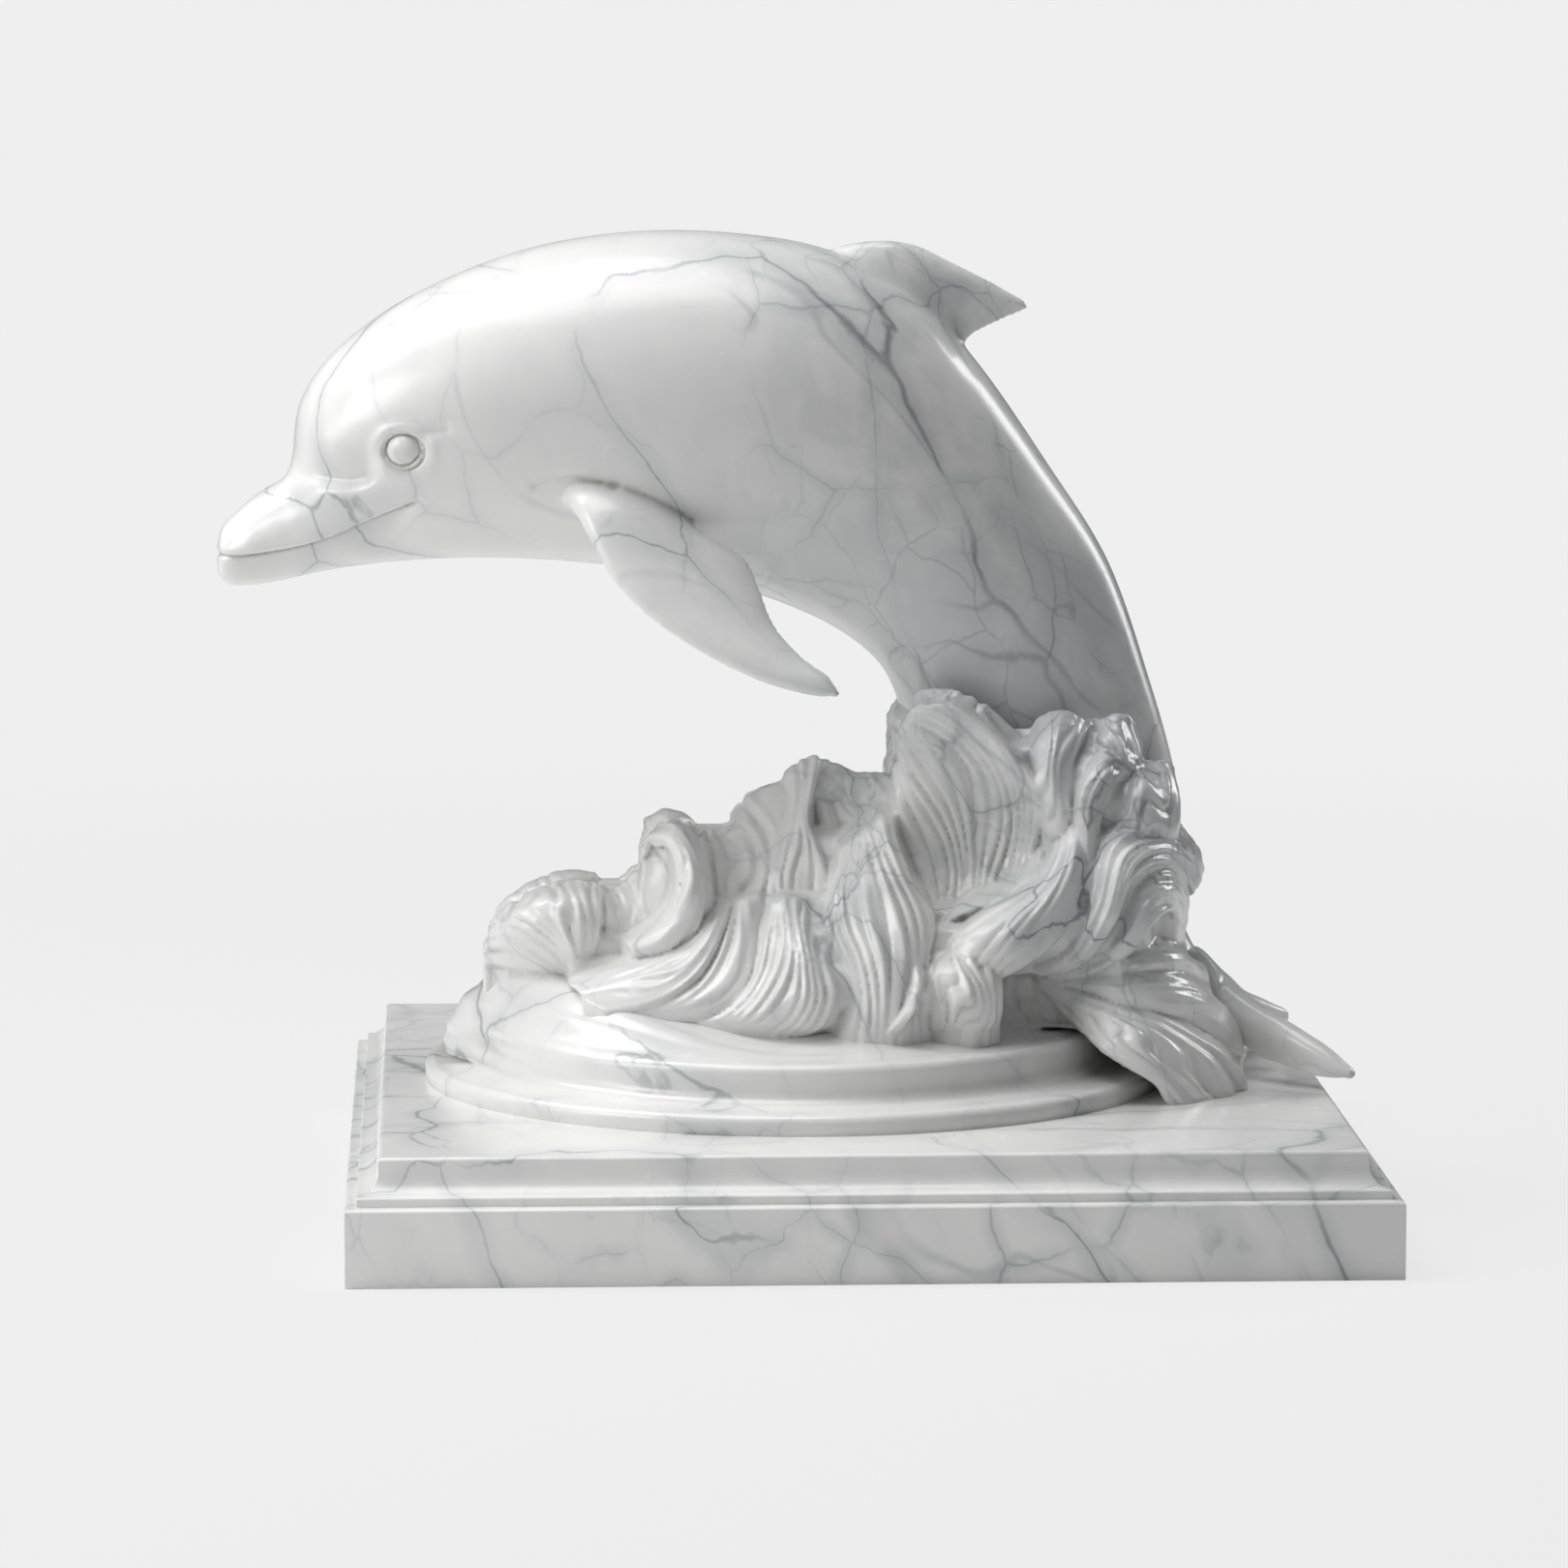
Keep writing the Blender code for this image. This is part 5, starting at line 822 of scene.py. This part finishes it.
def makePlinth():
    half = plinth["side"] / 2
    arris, top = plinth["slabArris"], plinth["tableTop"]
    profile = [(0.0, 0.0), (half, 0.0)]
    profile += arc((half - arris, plinth["slabHeight"] - arris), arris, 0, 90, 5)
    edge = half - arris - plinth["mouldingInset"]
    height = plinth["slabHeight"]
    small = 0.0006
    profile += [(edge, height)] + arc((edge - small, height + plinth["mouldingFoot"] - small), small, 0, 90, 3)
    height += plinth["mouldingFoot"]
    edge -= small
    for degrees in range(0, 91, 9):
        turn = math.radians(degrees)
        profile.append((edge - (plinth["coveInset"] - small) * math.sin(turn),
                        height + plinth["coveHeight"] * (1 - math.cos(turn))))
    edge = profile[-1][0]
    profile += arc((edge - plinth["tableArris"], top - plinth["tableArris"]), plinth["tableArris"], 0, 90, 5)
    profile += [(0.0, top)]
    bm = bmesh.new()
    turnProfile(bm, [(radius * math.sqrt(2), z) for radius, z in profile], 4)
    bmesh.ops.rotate(bm, cent=(0, 0, 0), matrix=Matrix.Rotation(math.radians(45), 3, "Z"), verts=bm.verts)
    corners = [e for e in bm.edges
               if all(abs(abs(v.co.x) - abs(v.co.y)) < 1e-5 and abs(v.co.x) > half / 2 for v in e.verts)]
    bmesh.ops.bevel(bm, geom=corners, offset=plinth["cornerRound"], segments=3, profile=0.5,
                    affect="EDGES", clamp_overlap=True, material=-1)
    return newObject("plinth", bm)


def heapWater(bm):  # the water rises to the left, spills over the upper rim there and runs in uneven ripples
    verts = [v for v in bm.verts if v.co.z > disc["step"] + 0.0002]
    places = np.array([v.co for v in verts])
    share = np.clip((places[:, 2] - disc["step"]) / disc["upperStep"], 0, 1)
    radius = np.hypot(places[:, 0], places[:, 1])
    angle = np.degrees(np.arctan2(places[:, 1], -places[:, 0]))
    rim = disc["upperRadius"]
    side = 1 - fadeIn(abs(angle + 5), 28, 82)
    rimSide = 1 - fadeIn(abs(angle - 12), 15, 55)
    spillSide = 1 - fadeIn(abs(angle - 22), 18, 36)
    inner = 1 - fadeIn(radius, rim * 0.86, rim)
    rise = side * inner * (disc["heapRise"] - disc["heapRim"]) + rimSide * disc["heapRim"]
    bent = radius + 0.0022 * np.sin(np.radians(angle) * 2.3 + 0.7) + 0.0012 * np.sin(np.radians(angle) * 5.1)
    ripple = (np.abs(np.sin(bent / 0.0034)) ** 0.6 + 0.5 * np.sin(bent / 0.0013 + np.radians(angle) * 3)
              + 0.6 * np.sin(bent / 0.0071 + 1.1))
    ripple = ripple * disc["rippleHeight"] * (0.45 + 0.55 * side) * (1 - fadeIn(radius, rim * 0.90, rim * 0.97))
    terraces = 0.0011 * np.abs(np.sin((places[:, 2] + rise * share) / 0.0022 + np.radians(angle) * 1.5))
    terraces = terraces * rimSide * fadeIn(radius, rim * 0.80, rim * 0.95)
    spill = disc["heapSpill"] + disc["heapLean"] * (1 - share) * fadeIn(share, 0.0, 0.3)
    reach = 1 + spillSide * spill / rim * fadeIn(radius, disc["swellRadius"], rim) - terraces / rim
    lift = share * rise + ripple * fadeIn(share, 0.9, 1.0)
    for v, out, up in zip(verts, reach, lift):
        v.co = (v.co.x * out, v.co.y * out, v.co.z + up)


def makeDisc():
    top = disc["step"] + disc["upperStep"]
    bend = disc["rimRound"]
    rim = disc["upperRadius"]

    def swell(radius):
        return top + disc["swellRise"] * float(1 - fadeIn(radius, disc["swellRadius"], rim * 0.98))

    profile = [(0.0, swell(0.0))]
    profile += [(r, swell(r)) for r in np.arange(0.004, rim - bend - 0.0003, 0.0006)]
    profile += arc((rim - bend, top - bend), bend, 90, 0, 7)
    profile += [(rim, z) for z in np.arange(top - bend - 0.0008, disc["step"] + 0.0046, -0.0008)]
    profile += arc((rim + 0.0040, disc["step"] + 0.0042), 0.0040, 180, 270, 8)
    profile += arc((disc["radius"] - bend, disc["step"] - bend), bend, 90, 0, 7)
    profile += [(disc["radius"], -disc["sink"]), (0.0, -disc["sink"])]
    bm = bmesh.new()
    turnProfile(bm, profile, disc["turns"])
    heapWater(bm)
    bmesh.ops.translate(bm, vec=(disc["x"], 0, tableTop), verts=bm.verts)
    return newObject("disc", bm)


# Marble

class Socket:
    def __init__(self, tree, link):
        self.tree, self.link = tree, link

    def math(self, operation, *others):
        return self.tree.node("ShaderNodeMath", {"operation": operation}, [self, *others])

    def __add__(self, other): return self.math("ADD", other)
    def __radd__(self, other): return self.math("ADD", other)
    def __sub__(self, other): return self.math("SUBTRACT", other)
    def __rsub__(self, other): return self.tree.node("ShaderNodeMath", {"operation": "SUBTRACT"}, [other, self])
    def __mul__(self, other): return self.math("MULTIPLY", other)
    def __rmul__(self, other): return self.math("MULTIPLY", other)
    def __pow__(self, other): return self.math("POWER", other)
    def __abs__(self): return self.math("ABSOLUTE")


class Tree:
    def __init__(self, owner):  # of a material or the world
        owner.use_nodes = True
        self.nodes, self.links = owner.node_tree.nodes, owner.node_tree.links
        self.shader = self.nodes.get("Principled BSDF") or self.nodes["Background"]

    def node(self, kind, settings=None, inputs=(), output=0):
        made = self.nodes.new(kind)
        for name, value in (settings or {}).items():
            setattr(made, name, value)
        pairs = inputs.items() if isinstance(inputs, dict) else enumerate(inputs)
        for key, value in pairs:
            self.set(made.inputs[key], value)
        return Socket(self, made.outputs[output])

    def set(self, socket, value):
        if isinstance(value, Socket):
            self.links.new(value.link, socket)
        elif isinstance(value, tuple) and len(value) == 3 and socket.type == "RGBA":
            socket.default_value = (*value, 1.0)
        else:
            socket.default_value = value


marble = {
    "white": (0.86, 0.86, 0.85),
    "cloud": (0.56, 0.57, 0.58),
    "vein": (0.17, 0.18, 0.20),
    "fineVein": (0.34, 0.35, 0.37),
    # painted shade: the grey laid into concave places, where shade falls
    "creviceShade": (0.42, 0.42, 0.39),
    "roughness": 0.19,
    "patina": 0.12,
    "coat": 0.16,
    "coatRoughness": 0.14,
}


def makeMarble():
    material = bpy.data.materials.new("veinedMarble")
    tree = Tree(material)
    place = tree.node("ShaderNodeTexCoord", output="Object")
    x, y, z = (tree.node("ShaderNodeSeparateXYZ", None, [place], axis) for axis in range(3))

    def noise(where, scale, detail=4.0, rough=0.55, output="Fac"):
        return tree.node("ShaderNodeTexNoise", None,
                         {"Vector": where, "Scale": scale, "Detail": detail, "Roughness": rough}, output)

    def warp(where, scale, amount, detail=3.0):
        cloud = noise(where, scale, detail, 0.55, "Color")
        shift = tree.node("ShaderNodeVectorMath", {"operation": "SUBTRACT"}, [cloud, (0.5, 0.5, 0.5)])
        shift = tree.node("ShaderNodeVectorMath", {"operation": "SCALE"}, {0: shift, "Scale": amount})
        return tree.node("ShaderNodeVectorMath", {"operation": "ADD"}, [where, shift])

    def above(value, low, high):  # smooth step
        return tree.node("ShaderNodeMapRange", {"interpolation_type": "SMOOTHSTEP"}, [value, low, high, 0.0, 1.0])

    def network(where, scale, seed):  # distance to the nearest edge between stretched cells
        moved = tree.node("ShaderNodeVectorMath", {"operation": "ADD"}, [where, (seed, seed * 0.7, seed * 1.3)])
        return tree.node("ShaderNodeTexVoronoi", {"feature": "DISTANCE_TO_EDGE"}, {"Vector": moved, "Scale": scale})

    def slanted(degrees, stretch):  # coordinates drawn out along the veins, from upper left to lower right
        return tree.node("ShaderNodeMapping", {"vector_type": "TEXTURE"},
                         {"Vector": place, "Rotation": (0.15, math.radians(degrees), 0.20),
                          "Scale": (stretch, 1.0, 1.0)})

    def mix(base, colour, amount):
        node = tree.nodes.new("ShaderNodeMix")
        node.data_type = "RGBA"
        tree.set(node.inputs["Factor"], amount)
        tree.set(node.inputs["A"], base)
        tree.set(node.inputs["B"], colour)
        return Socket(tree, node.outputs["Result"])

    along = warp(warp(slanted(54, 2.2), 16.0, 0.030), 70.0, 0.0065, 4.0)
    steep = warp(warp(slanted(66, 1.5), 20.0, 0.026), 85.0, 0.0060, 4.0)
    tail = above(x, -0.070, 0.065) * above(z, 0.040, 0.090)
    slab = 1 - above(z, 0.016, 0.034)
    dense = tree.node("ShaderNodeMath", {"operation": "MAXIMUM"}, [tail, slab * 0.55])
    patches = above(noise(along, 20.0, 3.0), 0.36, 0.58)
    spots = above(noise(steep, 26.0, 3.0), 0.41, 0.61)

    wide, narrow = network(along, 17.0, 0.31), network(steep, 31.0, 0.83)
    tight = network(steep, 62.0, 1.7)
    veinWidth = 0.003 + 0.070 * noise(steep, 12.0, 2.0) ** 3.0
    fineWidth = 0.004 + 0.090 * noise(along, 18.0, 2.0) ** 3.0
    veins = (1 - above(wide, 0.0, veinWidth)) * patches
    halo = (1 - above(wide, 0.0, 0.085)) * patches
    fine = (1 - above(narrow, 0.0, fineWidth)) * spots
    fineHalo = (1 - above(narrow, 0.0, 0.110)) * spots
    cracks = (1 - above(tight, 0.0, 0.030)) * above(noise(along, 30.0, 3.0), 0.50, 0.62)
    clouds = above(noise(along, 15.0, 5.0, 0.6), 0.38, 0.66)

    drawn = warp(slanted(50, 3.6), 22.0, 0.016)
    streaks = (1 - above(abs(noise(drawn, 16.0, 2.0) - 0.5), 0.0, 0.014)) * spots
    blotches = above(noise(steep, 44.0, 4.0, 0.6), 0.45, 0.62)
    # Painted shade: concave places, found by pointiness, are darkened towards the crevice shade grey
    hollow = 1 - above(tree.node("ShaderNodeNewGeometry", output="Pointiness"), 0.440, 0.497)

    colour = marble["white"]
    for shade, amount in (("cloud", clouds * (0.16 + 0.80 * tail + 0.10 * slab)),
                          ("cloud", blotches * (0.05 + 0.60 * tail)),
                          ("cloud", halo * (0.34 + 0.50 * dense)),
                          ("cloud", fineHalo * (0.16 + 0.58 * dense)),
                          ("fineVein", cracks * (0.03 + 0.50 * tail + 0.18 * slab)),
                          ("fineVein", fine * (0.22 + 0.55 * dense)),
                          ("fineVein", streaks * (0.24 + 0.16 * dense)),
                          ("vein", veins * (0.50 + 0.36 * dense)),
                          ("creviceShade", hollow * 0.80)):
        colour = mix(colour, marble[shade], amount)
    tree.set(tree.shader.inputs["Base Color"], colour)
    tree.set(tree.shader.inputs["Roughness"], marble["roughness"] + marble["patina"] * noise(place, 55.0, 3.0))
    tree.shader.inputs["Coat Weight"].default_value = marble["coat"]
    tree.shader.inputs["Coat Roughness"].default_value = marble["coatRoughness"]
    bump = tree.node("ShaderNodeBump", None,
                     {"Strength": 0.05, "Distance": 0.001, "Height": noise(place, 260.0, 3.0)})
    tree.set(tree.shader.inputs["Normal"], bump)
    return material


# Stage, lights and camera

studio = {
    "backdrop": (0.863, 0.863, 0.863),
    "air": (0.96, 0.98, 1.0),
    "world": 0.08,
    "floor": (0.80, 0.80, 0.80),
    "floorSize": 60.0,
    "near": 0.25,
    "far": 1.10,
    "nearShare": 0.86,
    "aim": (-0.01, 0, 0.13),
    "lens": 168.87,
    "cameraPlace": (-0.10624, -1.96978, 0.36179),
    "cameraTurn": (82.758, 0, -2.578),
}


def seenAs(tree, seen, base, shown, output):  # the camera's share of what it sees is the shown shader
    choose = tree.nodes.new("ShaderNodeMixShader")
    for socket, source in zip(choose.inputs, (seen.link, base.outputs[0], shown.outputs[0])):
        tree.links.new(source, socket)
    tree.links.new(choose.outputs[0], tree.nodes[output].inputs["Surface"])


def makeStage():
    bm = bmesh.new()
    bmesh.ops.create_grid(bm, x_segments=1, y_segments=1, size=studio["floorSize"])
    floor = newObject("floor", bm)
    material = bpy.data.materials.new("paleFloor")
    tree = Tree(material)
    tree.shader.inputs["Base Color"].default_value = (*studio["floor"], 1.0)
    tree.shader.inputs["Roughness"].default_value = 0.9
    flat = tree.nodes.new("ShaderNodeEmission")
    flat.inputs["Color"].default_value = (*studio["backdrop"], 1.0)
    place = tree.node("ShaderNodeTexCoord", output="Object")
    distance = tree.node("ShaderNodeVectorMath", {"operation": "LENGTH"}, [place], "Value")
    far = tree.node("ShaderNodeMapRange", {"interpolation_type": "SMOOTHSTEP"},
                    [distance, studio["near"], studio["far"], 0.0, 1.0])
    share = studio["nearShare"] + (1 - studio["nearShare"]) * far
    seen = tree.node("ShaderNodeLightPath", output="Is Camera Ray") * share
    seenAs(tree, seen, tree.shader, flat, "Material Output")
    floor.data.materials.append(material)

    world = bpy.data.worlds.new("studio")
    bpy.context.scene.world = world
    tree = Tree(world)
    tree.shader.inputs["Color"].default_value = (*studio["air"], 1.0)
    tree.shader.inputs["Strength"].default_value = studio["world"]
    flat = tree.nodes.new("ShaderNodeBackground")
    flat.inputs["Color"].default_value = (*studio["backdrop"], 1.0)
    seenAs(tree, tree.node("ShaderNodeLightPath", output="Is Camera Ray"), tree.shader, flat, "World Output")


def makeLights():
    for name, place, size, power in (("top", (-0.3, -0.1, 1.5), (1.0, 1.0), 12.0),
                                     ("topLeft", (-0.95, 0.15, 1.25), (0.7, 0.7), 10.0),
                                     ("key", (-1.35, -0.75, 0.85), (0.6, 0.6), 6.5),
                                     ("lowLeft", (-1.5, -0.5, 0.35), (0.5, 0.5), 2.2),
                                     ("strip", (0.75, 0.50, 0.46), (0.20, 0.50), 2.2)):
        lamp = bpy.data.lights.new(name, "AREA")
        lamp.shape = "RECTANGLE"
        lamp.size, lamp.size_y = size
        lamp.energy = power
        made = bpy.data.objects.new(name, lamp)
        made.location = place
        made.rotation_euler = (Vector(studio["aim"]) - Vector(place)).to_track_quat("-Z", "Y").to_euler()
        bpy.context.scene.collection.objects.link(made)


def makeCamera():
    camera = bpy.data.objects.new("camera", bpy.data.cameras.new("camera"))
    camera.data.lens = studio["lens"]
    camera.location = studio["cameraPlace"]
    camera.rotation_euler = [math.radians(degrees) for degrees in studio["cameraTurn"]]
    bpy.context.scene.collection.objects.link(camera)
    bpy.context.scene.camera = camera


bpy.context.scene.view_settings.view_transform = "Standard"
makeCamera()
stone = makeMarble()
for piece in [makePlinth(), makeDisc()]:
    finishPiece(piece, stone)
print("plinth and disc made")
finishPiece(makeDolphin(), stone)
print("dolphin made")
for piece in makeWave():
    finishPiece(piece, stone)
print("wave made")
makeStage()
makeLights()
